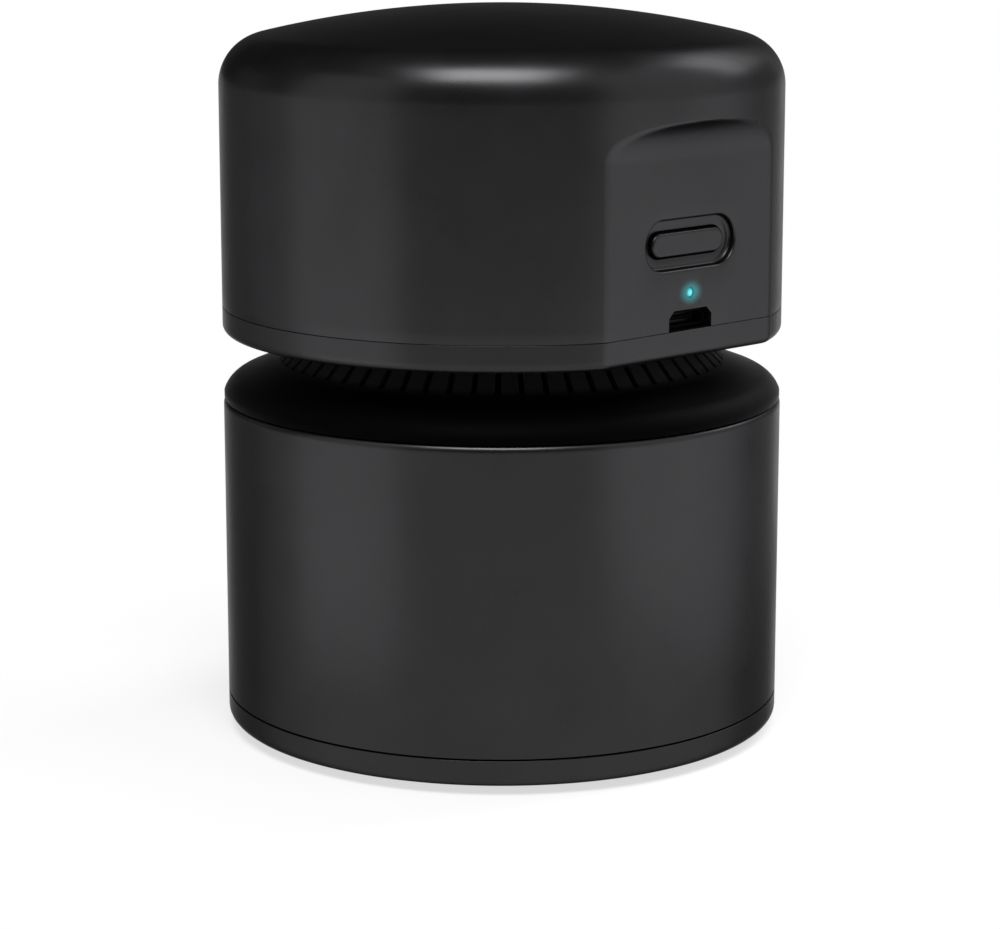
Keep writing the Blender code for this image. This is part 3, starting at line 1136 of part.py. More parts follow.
def motor():
    """Small direct-current motor: can, end cap, bushes, magnets, terminals and the turning parts."""
    bore = BUSH_RADIUS + BUSH_SEAT_GAP
    floor = MOTOR_BOTTOM + MOTOR_CAN_METAL
    inside = MOTOR_RADIUS - MOTOR_CAN_METAL
    profile = [
        (MOTOR_RADIUS, MOTOR_CAN_TOP),
        (MOTOR_RADIUS, MOTOR_BOTTOM + EDGE_BREAK),
        (MOTOR_RADIUS - EDGE_BREAK, MOTOR_BOTTOM),
        (MOTOR_NOSE_RADIUS, MOTOR_BOTTOM),
        (MOTOR_NOSE_RADIUS, MOTOR_NOSE_BOTTOM),
        (bore, MOTOR_NOSE_BOTTOM),
        (bore, floor),
        (inside, floor),
        (inside, MOTOR_CAN_TOP),
    ]
    can = turned("motor_can", profile, "steel", WHEEL_STEPS)
    half = MOTOR_SCREW_SPACING / 2
    hole = FINE_SCREW["shank"] + SCREW_HOLE_GAP
    low = MOTOR_BOTTOM - CUT_OVERRUN
    holes = pegs("can_holes", [(half, 0), (-half, 0)], hole, low, floor + CUT_OVERRUN / 2, SCREW_STEPS)
    boolean(can, holes)
    plug = inside - TOUCH_GAP
    cap_floor = MOTOR_CAP_TOP - MOTOR_CAP_WALL
    hub_top = MOTOR_CAP_TOP + MOTOR_HUB_HEIGHT
    hub = bore + MOTOR_CAP_WALL
    profile = [
        (hub, hub_top),
        (hub, MOTOR_CAP_TOP),
        (MOTOR_RADIUS, MOTOR_CAP_TOP),
        (MOTOR_RADIUS, MOTOR_CAP_BOTTOM),
        (plug, MOTOR_CAP_BOTTOM),
        (plug, MOTOR_CAP_BOTTOM - MOTOR_CAP_PLUG),
        (plug - MOTOR_CAP_WALL, MOTOR_CAP_BOTTOM - MOTOR_CAP_PLUG),
        (plug - MOTOR_CAP_WALL, cap_floor),
        (bore, cap_floor),
        (bore, hub_top),
    ]
    turned("motor_end_cap", profile, "nylon_white", WHEEL_STEPS)
    running = SHAFT_RADIUS + SHAFT_CLEARANCE
    low = MOTOR_NOSE_BOTTOM + BUSH_SEAT_GAP
    ring("motor_bush_lower", BUSH_RADIUS, running, low, low + BUSH_LENGTH, "brass")
    high = hub_top - BUSH_SEAT_GAP
    ring("motor_bush_upper", BUSH_RADIUS, running, high - BUSH_LENGTH, high, "brass")
    low = floor + MAGNET_FLOOR
    outer = inside - TOUCH_GAP
    inner = outer - MAGNET_THICKNESS
    for side, middle in (("front", -math.pi / 2), ("rear", math.pi / 2)):
        start, end = middle - MAGNET_SPAN / 2, middle + MAGNET_SPAN / 2
        outline = arc_points((0, 0), outer, start, end, MAGNET_STEPS)
        outline += arc_points((0, 0), inner, end, start, MAGNET_STEPS)
        prism(f"magnet_{side}", [outline], low, low + MAGNET_LENGTH, "magnet_grey")
    reach = inner - AIR_GAP
    middle = low + MAGNET_LENGTH / 2
    core_top = middle + ARMATURE_HEIGHT / 2
    prism(
        "armature_core", [armature_outline(reach), circle_outline(running)],
        middle - ARMATURE_HEIGHT / 2, core_top, "steel",
    )
    low = core_top + COMMUTATOR_GAP
    ring("commutator", COMMUTATOR_RADIUS, running, low, low + COMMUTATOR_HEIGHT, "brass")
    thin, wide = TERMINAL_THICKNESS / 2, TERMINAL_WIDTH / 2
    low = MOTOR_CAP_TOP + TOUCH_GAP
    for side, x in (("left", -TERMINAL_SPACING / 2), ("right", TERMINAL_SPACING / 2)):
        corner = (x + thin, wide, low + TERMINAL_HEIGHT)
        box(f"motor_terminal_{side}", (x - thin, -wide, low), corner, "brass")


def circle_outline(radius, steps=SMALL_STEPS):
    return arc_points((0, 0), radius, 0, 2 * math.pi, steps)[:-1]


def armature_outline(reach):
    """Outline of the armature's stack: a round core with poles that end in curved shoes."""
    shoe = reach - ARMATURE_SHOE_THICKNESS
    neck = ARMATURE_NECK_WIDTH / 2
    outline = []
    for pole in range(ARMATURE_POLES):
        middle = 2 * math.pi * pole / ARMATURE_POLES
        half = ARMATURE_SHOE_SPAN / 2
        root = math.asin(neck / ARMATURE_CORE_RADIUS)
        waist = math.asin(neck / shoe)
        outline.append(polar(ARMATURE_CORE_RADIUS, middle - root))
        outline.append(polar(shoe, middle - waist))
        outline.append(polar(shoe, middle - half))
        outline += arc_points((0, 0), reach, middle - half, middle + half, ARMATURE_SHOE_STEPS)
        outline.append(polar(shoe, middle + half))
        outline.append(polar(shoe, middle + waist))
        outline.append(polar(ARMATURE_CORE_RADIUS, middle + root))
    return outline


def polar(radius, angle):
    return radius * math.cos(angle), radius * math.sin(angle)


def impeller():
    """Shaft and the centrifugal impeller on its lower end."""
    shaft_top = MOTOR_CAP_TOP + MOTOR_HUB_HEIGHT
    cylinder("motor_shaft", SHAFT_RADIUS, IMPELLER_BOTTOM, shaft_top, "steel")
    running = SHAFT_RADIUS + SHAFT_CLEARANCE
    disc = IMPELLER_TOP - IMPELLER_DISC
    profile = [
        (IMPELLER_RADIUS, IMPELLER_TOP),
        (IMPELLER_RADIUS, disc),
        (IMPELLER_HUB_RADIUS + IMPELLER_DISC, disc),
        (IMPELLER_HUB_RADIUS, disc - IMPELLER_DISC),
        (IMPELLER_HUB_RADIUS, IMPELLER_BOTTOM),
        (running, IMPELLER_BOTTOM),
        (running, IMPELLER_TOP),
    ]
    wheel = turned("impeller", profile, "inner_black", WHEEL_STEPS)
    outlines = []
    half = IMPELLER_BLADE_THICKNESS / 2
    tip = IMPELLER_RADIUS - EDGE_BREAK
    for blade in range(IMPELLER_BLADE_COUNT):
        base = 2 * math.pi * blade / IMPELLER_BLADE_COUNT
        front, back = [], []
        for i in range(IMPELLER_BLADE_STEPS + 1):
            share = i / IMPELLER_BLADE_STEPS
            radius = IMPELLER_EYE_RADIUS + (tip - IMPELLER_EYE_RADIUS) * share
            angle = base - IMPELLER_BLADE_SWEEP * share
            front.append(polar(radius, angle + half / radius))
            back.append(polar(radius, angle - half / radius))
        outlines.append(front + back[::-1])
    blades = prism("impeller_blades", outlines, IMPELLER_BOTTOM, disc + IMPELLER_DISC / 2)
    boolean(wheel, blades, "UNION")


def battery():
    """Flat rechargeable cell standing in a tray behind the motor."""
    half = CELL_WIDTH / 2
    back = CELL_FRONT_Y + CELL_THICKNESS
    box(
        "battery_cell", (-half, CELL_FRONT_Y, CELL_BOTTOM), (half, back, CELL_BOTTOM + CELL_HEIGHT),
        "cell_silver", CELL_EDGE_RADIUS, 2,
    )
    out = TRAY_HALF_WIDTH
    rear = TRAY_REAR_Y
    top = TRAY_FLOOR_BOTTOM + TRAY_SIDE_HEIGHT
    foot = HEAD_PLATE_TOP + TOUCH_GAP
    tray = box("battery_tray", (-out, TRAY_FRONT_Y, foot), (out, rear, top), "inner_black")
    hollow = box(
        "tray_hollow", (-out + TRAY_WALL, CELL_FRONT_Y - TOUCH_GAP, TRAY_FLOOR_BOTTOM + TRAY_WALL),
        (out - TRAY_WALL, back + TOUCH_GAP, top + CUT_OVERRUN),
    )
    boolean(tray, hollow)
    knees = out - TRAY_LEG_WIDTH
    under = box(
        "tray_tunnel", (-knees, TRAY_FRONT_Y - CUT_OVERRUN, foot - CUT_OVERRUN),
        (knees, rear + CUT_OVERRUN, TRAY_FLOOR_BOTTOM),
    )
    boolean(tray, under)


def lead(name, start, end, way, material):
    """Insulated lead on a smooth curve that stands out from both its ends in one direction."""
    a, d = Vector(start), Vector(end)
    b = a + Vector(way) * LEAD_HANDLE
    c = d + Vector(way) * LEAD_HANDLE
    curve = bpy.data.curves.new(name + "_path", "CURVE")
    curve.dimensions = "3D"
    curve.bevel_depth = LEAD_RADIUS
    curve.bevel_resolution = 1
    curve.use_fill_caps = True
    spline = curve.splines.new("POLY")
    spline.points.add(LEAD_STEPS)
    for i, point in enumerate(spline.points):
        t = i / LEAD_STEPS
        s = 1 - t
        place_at = a * s**3 + b * (3 * s * s * t) + c * (3 * s * t * t) + d * t**3
        point.co = (*place_at, 1)
    obj = mesh_from_curve(bpy.data.objects.new(name + "_path", curve), name)
    return smooth(place(obj, material))


def leads():
    """Motor leads from the terminals to the board's top edge, and cell leads to the connector."""
    up = (0, 0, 1)
    top = MOTOR_CAP_TOP + TOUCH_GAP + TERMINAL_HEIGHT + TOUCH_GAP
    board_y = (BOARD_FRONT_Y + BOARD_BACK_Y) / 2
    level = (BOARD_BOTTOM + BOARD_TOP) / 2 + CONNECTOR_HEIGHT / 2 + TOUCH_GAP
    depth = BOARD_BACK_Y + TOUCH_GAP + CONNECTOR_DEPTH / 2
    cell_top = CELL_BOTTOM + CELL_HEIGHT + TOUCH_GAP
    cell_y = CELL_FRONT_Y + CELL_THICKNESS / 2
    for side, sign in (("black", -1), ("red", 1)):
        half = sign * LEAD_SPACING / 2
        start = (sign * TERMINAL_SPACING / 2, 0, top)
        end = (sign * LEAD_SPACING, board_y, BOARD_TOP + TOUCH_GAP)
        lead(f"motor_lead_{side}", start, end, up, f"lead_{side}")
        start = (CELL_WIDTH / 2 - LEAD_INSET + half, cell_y, cell_top)
        end = (CONNECTOR_OFFSET + half, depth, level)
        lead(f"cell_lead_{side}", start, end, up, f"lead_{side}")


clear_scene()
PARTS = new_collection("desktop_vacuum")
CUTTERS = new_collection("cutters", helper=True)
base_cover()
feet()
brush_ring()
dust_cup()
cup_floor()
intake_tube()
vent_shroud()
seal_ring()
inlet_plate()
filter_parts()
head_base()
head_shell()
power_button()
control_board()
light_pipe()
charging_socket()
motor()
impeller()
battery()
leads()
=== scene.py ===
import math
import random

import bmesh
import bpy
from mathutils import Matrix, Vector
from mathutils.geometry import delaunay_2d_cdt

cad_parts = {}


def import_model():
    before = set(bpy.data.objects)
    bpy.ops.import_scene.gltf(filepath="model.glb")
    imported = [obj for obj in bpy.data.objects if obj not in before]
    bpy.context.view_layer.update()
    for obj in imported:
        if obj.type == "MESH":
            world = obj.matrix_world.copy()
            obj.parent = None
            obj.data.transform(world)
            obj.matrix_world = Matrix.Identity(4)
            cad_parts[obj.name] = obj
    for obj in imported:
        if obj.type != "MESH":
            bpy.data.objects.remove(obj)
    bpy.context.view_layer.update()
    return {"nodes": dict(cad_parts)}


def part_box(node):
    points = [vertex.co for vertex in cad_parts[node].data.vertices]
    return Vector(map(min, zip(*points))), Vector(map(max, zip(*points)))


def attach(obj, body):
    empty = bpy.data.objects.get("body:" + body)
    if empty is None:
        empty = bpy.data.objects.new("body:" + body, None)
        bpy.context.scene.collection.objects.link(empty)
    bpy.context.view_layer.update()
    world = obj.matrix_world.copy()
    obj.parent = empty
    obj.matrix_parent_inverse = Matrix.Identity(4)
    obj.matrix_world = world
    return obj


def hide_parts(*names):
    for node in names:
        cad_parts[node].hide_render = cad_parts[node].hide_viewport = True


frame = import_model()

# Desktop mini vacuum cleaner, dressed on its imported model
# Metres, +Z up, the axis at the origin, the control panel towards -Y
MM = 0.001

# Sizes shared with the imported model: base and cup
BODY_RADIUS = 41.0 * MM
INNER_RADIUS = 39.0 * MM
LIP_RADIUS = 38.7 * MM
LIP_INNER_RADIUS = 37.1 * MM
BASE_BOTTOM = 1.2 * MM
BASE_EDGE_ROUND = 1.5 * MM
BASE_PLATE_BOTTOM = 3.25 * MM
BASE_TOP = 5.10 * MM
BASE_LIP_TOP = 7.55 * MM
BASE_SKIRT_INNER_RADIUS = 38.4 * MM
GROOVE_OUTER_RADIUS = 33.1 * MM
GROOVE_INNER_RADIUS = 29.9 * MM
GROOVE_TOP = 4.25 * MM
MOUTH_RADIUS = 9.0 * MM
MOUTH_FLARE = 2.5 * MM
MOUTH_LEVEL = 4.7 * MM
BASE_SCREW_CIRCLE = 20.7 * MM
BASE_SINK_RADIUS = 2.3 * MM
BASE_SINK_TOP = 4.35 * MM
BASE_HOLE_RADIUS = 1.05 * MM
FOOT_RADIUS = 1.9 * MM
FOOT_TOP = 2.95 * MM
CUP_BOTTOM = 5.36 * MM
CUP_RIM = 49.25 * MM
CUP_RIM_ROUND = 0.95 * MM
CUP_REBATE_RADIUS = 39.8 * MM
CUP_REBATE_TOP = 9.85 * MM
CUP_FLOOR_RADIUS = 39.5 * MM
CUP_FLOOR_BOTTOM = 7.95 * MM
CUP_FLOOR_TOP = 9.55 * MM
CUP_FLOOR_HOLE = 10.7 * MM
BOSS_RADIUS = 2.6 * MM
BOSS_BOTTOM = 5.35 * MM
BOSS_TOP = 7.97 * MM
TUBE_RADIUS = 10.4 * MM
TUBE_TOP = 21.45 * MM
TUBE_COLLAR_RADIUS = 12.0 * MM
TUBE_COLLAR_TOP = 11.05 * MM

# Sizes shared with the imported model: brush and filter
BRUSH_RADIUS = 31.5 * MM
BRUSH_HALF_WIDTH = 1.3 * MM
BRUSH_BACKING_BOTTOM = 3.35 * MM
BRUSH_BACKING_TOP = 3.95 * MM
BRUSH_HALF_PARTING = 2.0 * MM
TUFT_COUNT = 12
FILTER_RADIUS = 20.0 * MM
FILTER_CAP_BOTTOM = 27.05 * MM
FILTER_CAP_TOP = 28.45 * MM
FILTER_RING_BOTTOM = 40.05 * MM
FILTER_RING_STEP = 41.65 * MM
FILTER_RING_TOP = 45.65 * MM
FILTER_HOLE_RADIUS = 14.5 * MM
FILTER_SOCKET_RADIUS = 16.8 * MM

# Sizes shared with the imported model: shoulder and neck
SHOULDER_BOTTOM = 49.30 * MM
SHOULDER_TOP = 50.15 * MM
SHOULDER_RADIUS = 40.9 * MM
SHOULDER_ROUND = 4.0 * MM
SHOULDER_EDGE_ANGLE = math.radians(70)
SHOULDER_SLOPE = math.radians(20)
CONE_FOOT_RADIUS = 32.7 * MM
CONE_HEIGHT = 3.4 * MM
CONE_SLOPE = math.radians(45)
NECK_RADIUS = 29.3 * MM
NECK_WALL = 1.8 * MM
NECK_TOP = 58.65 * MM
SKIRT_INNER_RADIUS = 36.9 * MM
SKIRT_BOTTOM = 42.15 * MM
GROOVE_FLOOR_RADIUS = 37.7 * MM
SEAL_GROOVE_BOTTOM = 45.35 * MM
SEAL_GROOVE_TOP = 47.15 * MM
VENT_COUNT = 60
VENT_WIDTH = 0.9 * MM
VENT_TOP = 58.25 * MM

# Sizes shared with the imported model: head
HEAD_BOTTOM = 58.95 * MM
HEAD_EDGE_ROUND = 1.2 * MM
HEAD_PLATE_TOP = 60.95 * MM
HEAD_RING_TOP = 62.86 * MM
HEAD_LIP_TOP = 64.95 * MM
NOSE_HOLE_RADIUS = 3.4 * MM
HEAD_SCREW_CIRCLE = 36.6 * MM
HEAD_SINK_RADIUS = 2.4 * MM
HEAD_SINK_TOP = 60.55 * MM
HEAD_HOLE_RADIUS = 1.25 * MM
MOTOR_SCREW_REACH = 8.0 * MM
MOTOR_SINK_RADIUS = 1.9 * MM
MOTOR_SINK_TOP = 60.0 * MM
MOTOR_HOLE_RADIUS = 0.95 * MM
PILLAR_CIRCLE = 24.5 * MM
HEAD_SHELL_BOTTOM = 62.92 * MM
DOME_RADIUS = 152.0 * MM
DOME_CENTRE = -45.80 * MM
CORNER_RADIUS = 7.4 * MM
CORNER_CENTRE = (33.6 * MM, 94.84 * MM)
SHELL_WALL = 2.0 * MM
PANEL_DEPTH = 37.5 * MM
PANEL_INNER_DEPTH = 35.1 * MM
PANEL_TOP = 86.5 * MM
LIP_DEPTH = PANEL_INNER_DEPTH - 0.3 * MM
COVE_RADIUS = 6.0 * MM
PANEL_EDGE_SOFTNESS = 0.25 * MM
COVE_EDGE_SOFTNESS = 0.5 * MM
BUTTON_LEVEL = 74.95 * MM
RECESS_LENGTH = 18.0 * MM
RECESS_WIDTH = 7.0 * MM
RECESS_FLOOR_DEPTH = 1.2 * MM
BUTTON_OPENING = (14.9 * MM, 3.9 * MM)
BUTTON_CAP = (14.4 * MM, 3.4 * MM)
BUTTON_FRONT = -37.0 * MM
BUTTON_FLANGE = 0.8 * MM
BUTTON_FLANGE_REACH = 1.0 * MM
LAMP_LEVEL = 68.05 * MM
LAMP_RADIUS = 0.6 * MM
LAMP_HOLE_RADIUS = 0.75 * MM
LAMP_FRONT = -37.4 * MM
LAMP_FLANGE = 0.8 * MM
NOTCH_HALF_WIDTH = 4.3 * MM
NOTCH_TOP = 65.75 * MM
NOTCH_CHAMFER = 1.0 * MM

# Softened edges
EDGE_ROUND = 0.06 * MM
OPENING_ROUND = 0.08 * MM
LAMP_HOLE_ROUND = 0.1 * MM
RECESS_ROUND = 0.38 * MM
RECESS_FOOT_ROUND = 0.5 * MM
BUTTON_EDGE_ROUND = 0.4 * MM
SOFT = 0.1 * MM
FLANK_SHARE = 0.3

# How finely the meshes are divided
COLUMNS = 256
FINE_COLUMNS = 48
OUTLINE_STEPS = 40
STADIUM_STEPS = 24
STADIUM_SIDE_STEPS = 8
LOWER_EDGE_STEPS = 3
WINDOW_HALF_WIDTH = 11.0 * MM
WINDOW_TOP = 80.5 * MM
NOTCH_RIM = NOTCH_HALF_WIDTH + EDGE_ROUND
PANEL_NEAR_EDGE = 15.4 * MM
BEHIND_WINDOW = 10.2 * MM
COVE_ROWS_BOTTOM = 84.0 * MM
COVE_ROWS_TOP = 92.6 * MM
CRISP_RADIUS = 36.0 * MM
SLOT_STEPS = 7
RIB_STEPS = 7
PER_SLOT = SLOT_STEPS + RIB_STEPS - 1
WELD_DISTANCE = 0.0005 * MM
NUDGE = 0.001 * MM
CUT_OVERRUN = 2.0 * MM
SHARP_ANGLE = math.radians(32)

# Looks
SHELL_COLOUR = (0.0305, 0.0305, 0.0320)
SHELL_ROUGHNESS = 0.33
SHELL_COAT = 0.05
EDGE_TINT = (0.27, 0.27, 0.27)
GLOSS_DRIFT = 0.05
# Painted shade: the shoulder under the head is coloured near-black, darker than the cone's moulding
SHOULDER_PAINTED_SHADE = (0.0006, 0.0006, 0.0006)
CONE_COLOUR = (0.016, 0.016, 0.0165)
SHOULDER_SHADE_FADE = (54.2 * MM, 55.2 * MM)
# Painted shade: the socket's shell and tongue sit in the notch's hollow and are coloured near-black, with
# almost no gloss
SOCKET_BLACK_PAINTED_SHADE = (0.0015, 0.0015, 0.0015)
LENS_COLOUR = (0.02, 0.14, 0.16)
LENS_LIGHT = (0.08, 0.66, 0.72)
LENS_CORE_RADIUS = 0.25 * MM
GLOW_COLOUR = (0.08, 0.72, 0.78)
GLOW_REACH = 2.15 * MM
GLOW_STRENGTH = 0.33
GLOW_WIDTH_SHARE = 1.35
WORLD_COLOUR = (0.13, 0.13, 0.132)
FLOOR_COLOUR = (0.80, 0.80, 0.80)

# Places of the Mix node's colour sockets
MIX_FIRST = 6
MIX_SECOND = 7
MIX_RESULT = 2

# The camera and the lights are placed from the side that the camera looks from
VIEW_DIRECTION = math.radians(46.0)
CAMERA_PLACE = (-296.6 * MM, -307.1 * MM, 127.75 * MM)
CAMERA_PITCH = math.radians(10.98)
CAMERA_LENS = 105.50
CAMERA_SHIFT = (-0.0017, -0.0445)
CAMERA_CLIP = (0.01, 100.0)
SENSOR_WIDTH = 36.0
FLOOR_RADIUS = 9.0
FLOOR_RINGS = (0.001, 0.01, 0.03, 0.1, 0.3, 1.0)
FLOOR_COLUMNS = 96
SHADE_NEAR = 0.66
SHADE_REACH = (0.045, 0.115)
SWEPT_REACH = (-0.20, -0.07)
LIGHT_TARGET = (0.0, 0.0, 70.0 * MM)

# Turn from the camera and elevation in degrees, distance, width and height in metres, brightness
TOP_LIGHTS = {
    "key_front_top": (-6, 60, 0.9, 0.56, 0.40, 13.0),
    "fill_right_top": (124, 36, 0.5, 0.25, 0.24, 7.5),
}
# Turn from the camera in degrees, distance, lower and upper level and width in metres, brightness
SIDE_LIGHTS = {
    "band_left": (-54, 0.100, -0.02, 0.16, 0.074, 0.76),
    "edge_left": (-118, 0.300, 0.0, 0.20, 0.12, 0.7),
    "broad_right": (91, 0.095, -0.02, 0.22, 0.265, 0.87),
    "edge_right": (122, 0.300, 0.0, 0.20, 0.12, 0.4),
}

# Count, body, and head radius, head height and shank radius
SCREWS = {
    "base_screw": (3, "cup_assembly", 2.0 * MM, 0.8 * MM, 0.9 * MM),
    "head_screw": (3, "power_head", 2.1 * MM, 1.3 * MM, 1.1 * MM),
    "pillar_screw": (3, "power_head", 2.1 * MM, 1.3 * MM, 1.1 * MM),
    "motor_screw": (2, "power_head", 1.6 * MM, 0.9 * MM, 0.8 * MM),
}

# Name, colour, roughness and what else is set, with sizes in millimetres
FINISHES = {
    "inner": ("black_inner_moulding", (0.018, 0.018, 0.019), 0.55, {}),
    "rubber": ("black_rubber", (0.013, 0.013, 0.013), 0.8, {"grain": 0.3, "relief": 0.02, "strength": 0.5}),
    "bristle": ("black_bristle", (0.012, 0.012, 0.013), 0.5, {"spread": 0.35, "patch": 0.8}),
    "steel": ("drawn_steel", (0.55, 0.56, 0.57), 0.32, {"metallic": 1.0, "grain": 0.2, "relief": 0.003}),
    # The socket's black shell and tongue, made near-black and almost glossless as painted shade in the notch
    "plated": ("black_socket_painted_shade", SOCKET_BLACK_PAINTED_SHADE, 0.8, {"specular": 0.02}),
    "tongue": ("black_tongue_painted_shade", SOCKET_BLACK_PAINTED_SHADE, 0.8, {"specular": 0.02}),
    "screw": ("zinc_screw", (0.34, 0.34, 0.35), 0.36, {"metallic": 1.0, "patch": 1.5, "grain": 0.1}),
    "brass": ("brass", (0.70, 0.50, 0.20), 0.34, {"metallic": 1.0, "patch": 1.5}),
    "magnet": ("sintered_magnet", (0.08, 0.08, 0.09), 0.6, {"spread": 0.2, "grain": 0.2, "relief": 0.02}),
    "board": ("solder_mask_green", (0.018, 0.15, 0.065), 0.4, {"spread": 0.15, "patch": 2.0}),
    "component": ("component_black", (0.02, 0.02, 0.022), 0.5, {"grain": 0.1}),
    "nylon": ("natural_nylon", (0.74, 0.73, 0.69), 0.5, {"spread": 0.04}),
    "cell": ("cell_pouch", (0.50, 0.52, 0.55), 0.36,
             {"metallic": 0.6, "patch": 3.0, "grain": 0.8, "relief": 0.05, "strength": 0.4}),
    "filter": ("filter_paper", (0.78, 0.78, 0.75), 0.9,
               {"spread": 0.08, "patch": 0.5, "grain": 0.12, "relief": 0.04, "strength": 0.8}),
    "red": ("red_lead", (0.44, 0.02, 0.02), 0.45, {"patch": 1.0}),
    "black_lead": ("black_lead", (0.015, 0.015, 0.015), 0.45, {"patch": 1.0}),
}

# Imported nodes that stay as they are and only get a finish
NODE_FINISHES = {
    "rubber": ["seal_ring"],
    "inner": ["inlet_plate", "impeller", "battery_tray"],
    "filter": ["filter_medium"],
    "nylon": ["switch_plunger", "status_led", "battery_connector"],
    "board": ["control_board"],
    "screw": ["board_screw_1", "board_screw_2"],
    "component": ["switch_body", "charge_chip", "motor_end_cap"],
    "plated": ["socket_shell"],
    "tongue": ["socket_tongue"],
    "steel": ["motor_can", "armature_core", "motor_shaft"],
    "brass": ["motor_bush_lower", "motor_bush_upper", "commutator", "motor_terminal_left",
              "motor_terminal_right"],
    "magnet": ["magnet_front", "magnet_rear"],
    "cell": ["battery_cell"],
    "black_lead": ["motor_lead_black", "cell_lead_black"],
    "red": ["motor_lead_red", "cell_lead_red"],
}


# Materials

def plain_colour(value):
    return (*value, 1.0)


def scaled(colour, share):
    return tuple(c * share for c in colour)


def node(tree, kind, **settings):
    made = tree.nodes.new(kind)
    for key, value in settings.items():
        setattr(made, key, value)
    return made


def object_position(tree):
    return node(tree, "ShaderNodeTexCoord").outputs["Object"]


def noise(tree, size, detail):
    """Noise whose grains are about this size, fixed to the piece."""
    made = node(tree, "ShaderNodeTexNoise")
    made.inputs["Scale"].default_value = 1.0 / size
    made.inputs["Detail"].default_value = detail
    tree.links.new(object_position(tree), made.inputs["Vector"])
    return made.outputs["Fac"]


def remap(tree, value, low, high, start=0.3, end=0.7, shape="LINEAR"):
    """The value's stretch from start to end, brought to the stretch from low to high."""
    made = node(tree, "ShaderNodeMapRange", interpolation_type=shape)
    made.inputs["From Min"].default_value = start
    made.inputs["From Max"].default_value = end
    made.inputs["To Min"].default_value = low
    made.inputs["To Max"].default_value = high
    tree.links.new(value, made.inputs["Value"])
    return made.outputs["Result"]


def combined(tree, operation, first, second, clamp=False):
    """Two values added or multiplied."""
    made = node(tree, "ShaderNodeMath", operation=operation, use_clamp=clamp)
    tree.links.new(first, made.inputs[0])
    tree.links.new(second, made.inputs[1])
    return made.outputs["Value"]


def vector_math(tree, operation, vector, constant=(0.0, 0.0, 0.0)):
    made = node(tree, "ShaderNodeVectorMath", operation=operation)
    tree.links.new(vector, made.inputs[0])
    made.inputs[1].default_value = constant
    return made.outputs


def colour_mix(tree, factor):
    made = node(tree, "ShaderNodeMix", data_type="RGBA")
    tree.links.new(factor, made.inputs["Factor"])
    return made


def finish(name, colour, roughness, spread=0.06, patch=9.0, grain=0.14, relief=0.004, strength=0.35,
           metallic=0.0, specular=0.5, tint=None, coat=0.0):
    """Slowly drifting colour, a fine grain and uneven gloss. Patch, grain and relief are in mm."""
    made = bpy.data.materials.new(name)
    made.use_nodes = True
    made.diffuse_color = plain_colour(colour)
    tree = made.node_tree
    shader = tree.nodes["Principled BSDF"]
    shader.inputs["Metallic"].default_value = metallic
    shader.inputs["Specular IOR Level"].default_value = specular
    shader.inputs["Coat Weight"].default_value = coat
    shader.inputs["Coat Roughness"].default_value = roughness
    if tint:
        shader.inputs["Specular Tint"].default_value = plain_colour(tint)
    slow = noise(tree, patch * MM, 3.0)
    mixed = colour_mix(tree, remap(tree, slow, 0.0, 1.0))
    mixed.inputs[MIX_FIRST].default_value = plain_colour(scaled(colour, 1 - spread))
    mixed.inputs[MIX_SECOND].default_value = plain_colour(scaled(colour, 1 + spread))
    tree.links.new(mixed.outputs[MIX_RESULT], shader.inputs["Base Color"])
    fine = noise(tree, grain * MM, 2.0)
    gloss = remap(tree, slow, roughness - GLOSS_DRIFT, roughness)
    uneven = combined(tree, "ADD", gloss, remap(tree, fine, -GLOSS_DRIFT / 2, GLOSS_DRIFT / 2))
    tree.links.new(uneven, shader.inputs["Roughness"])
    bump = node(tree, "ShaderNodeBump")
    bump.inputs["Strength"].default_value = strength
    bump.inputs["Distance"].default_value = relief * MM
    tree.links.new(fine, bump.inputs["Height"])
    tree.links.new(bump.outputs["Normal"], shader.inputs["Normal"])
    return made


def satin_finish(name):
    return finish(name, SHELL_COLOUR, SHELL_ROUGHNESS, metallic=0.92, specular=0.1, tint=EDGE_TINT,
                  coat=SHELL_COAT)


def shell_material():
    """Satin black moulding, with the light that spills from the lamp onto the panel around it."""
    made = satin_finish("satin_black_moulding")
    tree = made.node_tree
    shader = tree.nodes["Principled BSDF"]
    offset = vector_math(tree, "SUBTRACT", object_position(tree), (0.0, -PANEL_DEPTH, LAMP_LEVEL))["Vector"]
    wide = vector_math(tree, "MULTIPLY", offset, (1 / GLOW_WIDTH_SHARE, 1.0, 1.0))["Vector"]
    away = vector_math(tree, "LENGTH", wide)["Value"]
    fade = remap(tree, away, GLOW_STRENGTH, 0.0, 0.0, GLOW_REACH, "SMOOTHERSTEP")
    shader.inputs["Emission Color"].default_value = plain_colour(GLOW_COLOUR)
    tree.links.new(fade, shader.inputs["Emission Strength"])
    return made


def neck_material():
    """Matt black moulding, a little lighter on the slotted cone, with painted shade making the shoulder
    under the head near-black.
    """
    made = finish("matt_black_neck_painted_shade", SHOULDER_PAINTED_SHADE, 0.6, specular=0.012)
    tree = made.node_tree
    shader = tree.nodes["Principled BSDF"]
    place = node(tree, "ShaderNodeSeparateXYZ")
    tree.links.new(object_position(tree), place.inputs[0])
    # Painted shade on the shoulder, fading by height into the cone's lighter moulding colour
    mixed = colour_mix(tree, remap(tree, place.outputs["Z"], 0.0, 1.0, *SHOULDER_SHADE_FADE))
    tree.links.new(shader.inputs["Base Color"].links[0].from_socket, mixed.inputs[MIX_FIRST])
    mixed.inputs[MIX_SECOND].default_value = plain_colour(CONE_COLOUR)
    tree.links.new(mixed.outputs[MIX_RESULT], shader.inputs["Base Color"])
    shader.inputs["Sheen Weight"].default_value = 0.16
    shader.inputs["Sheen Roughness"].default_value = 0.2
    return made


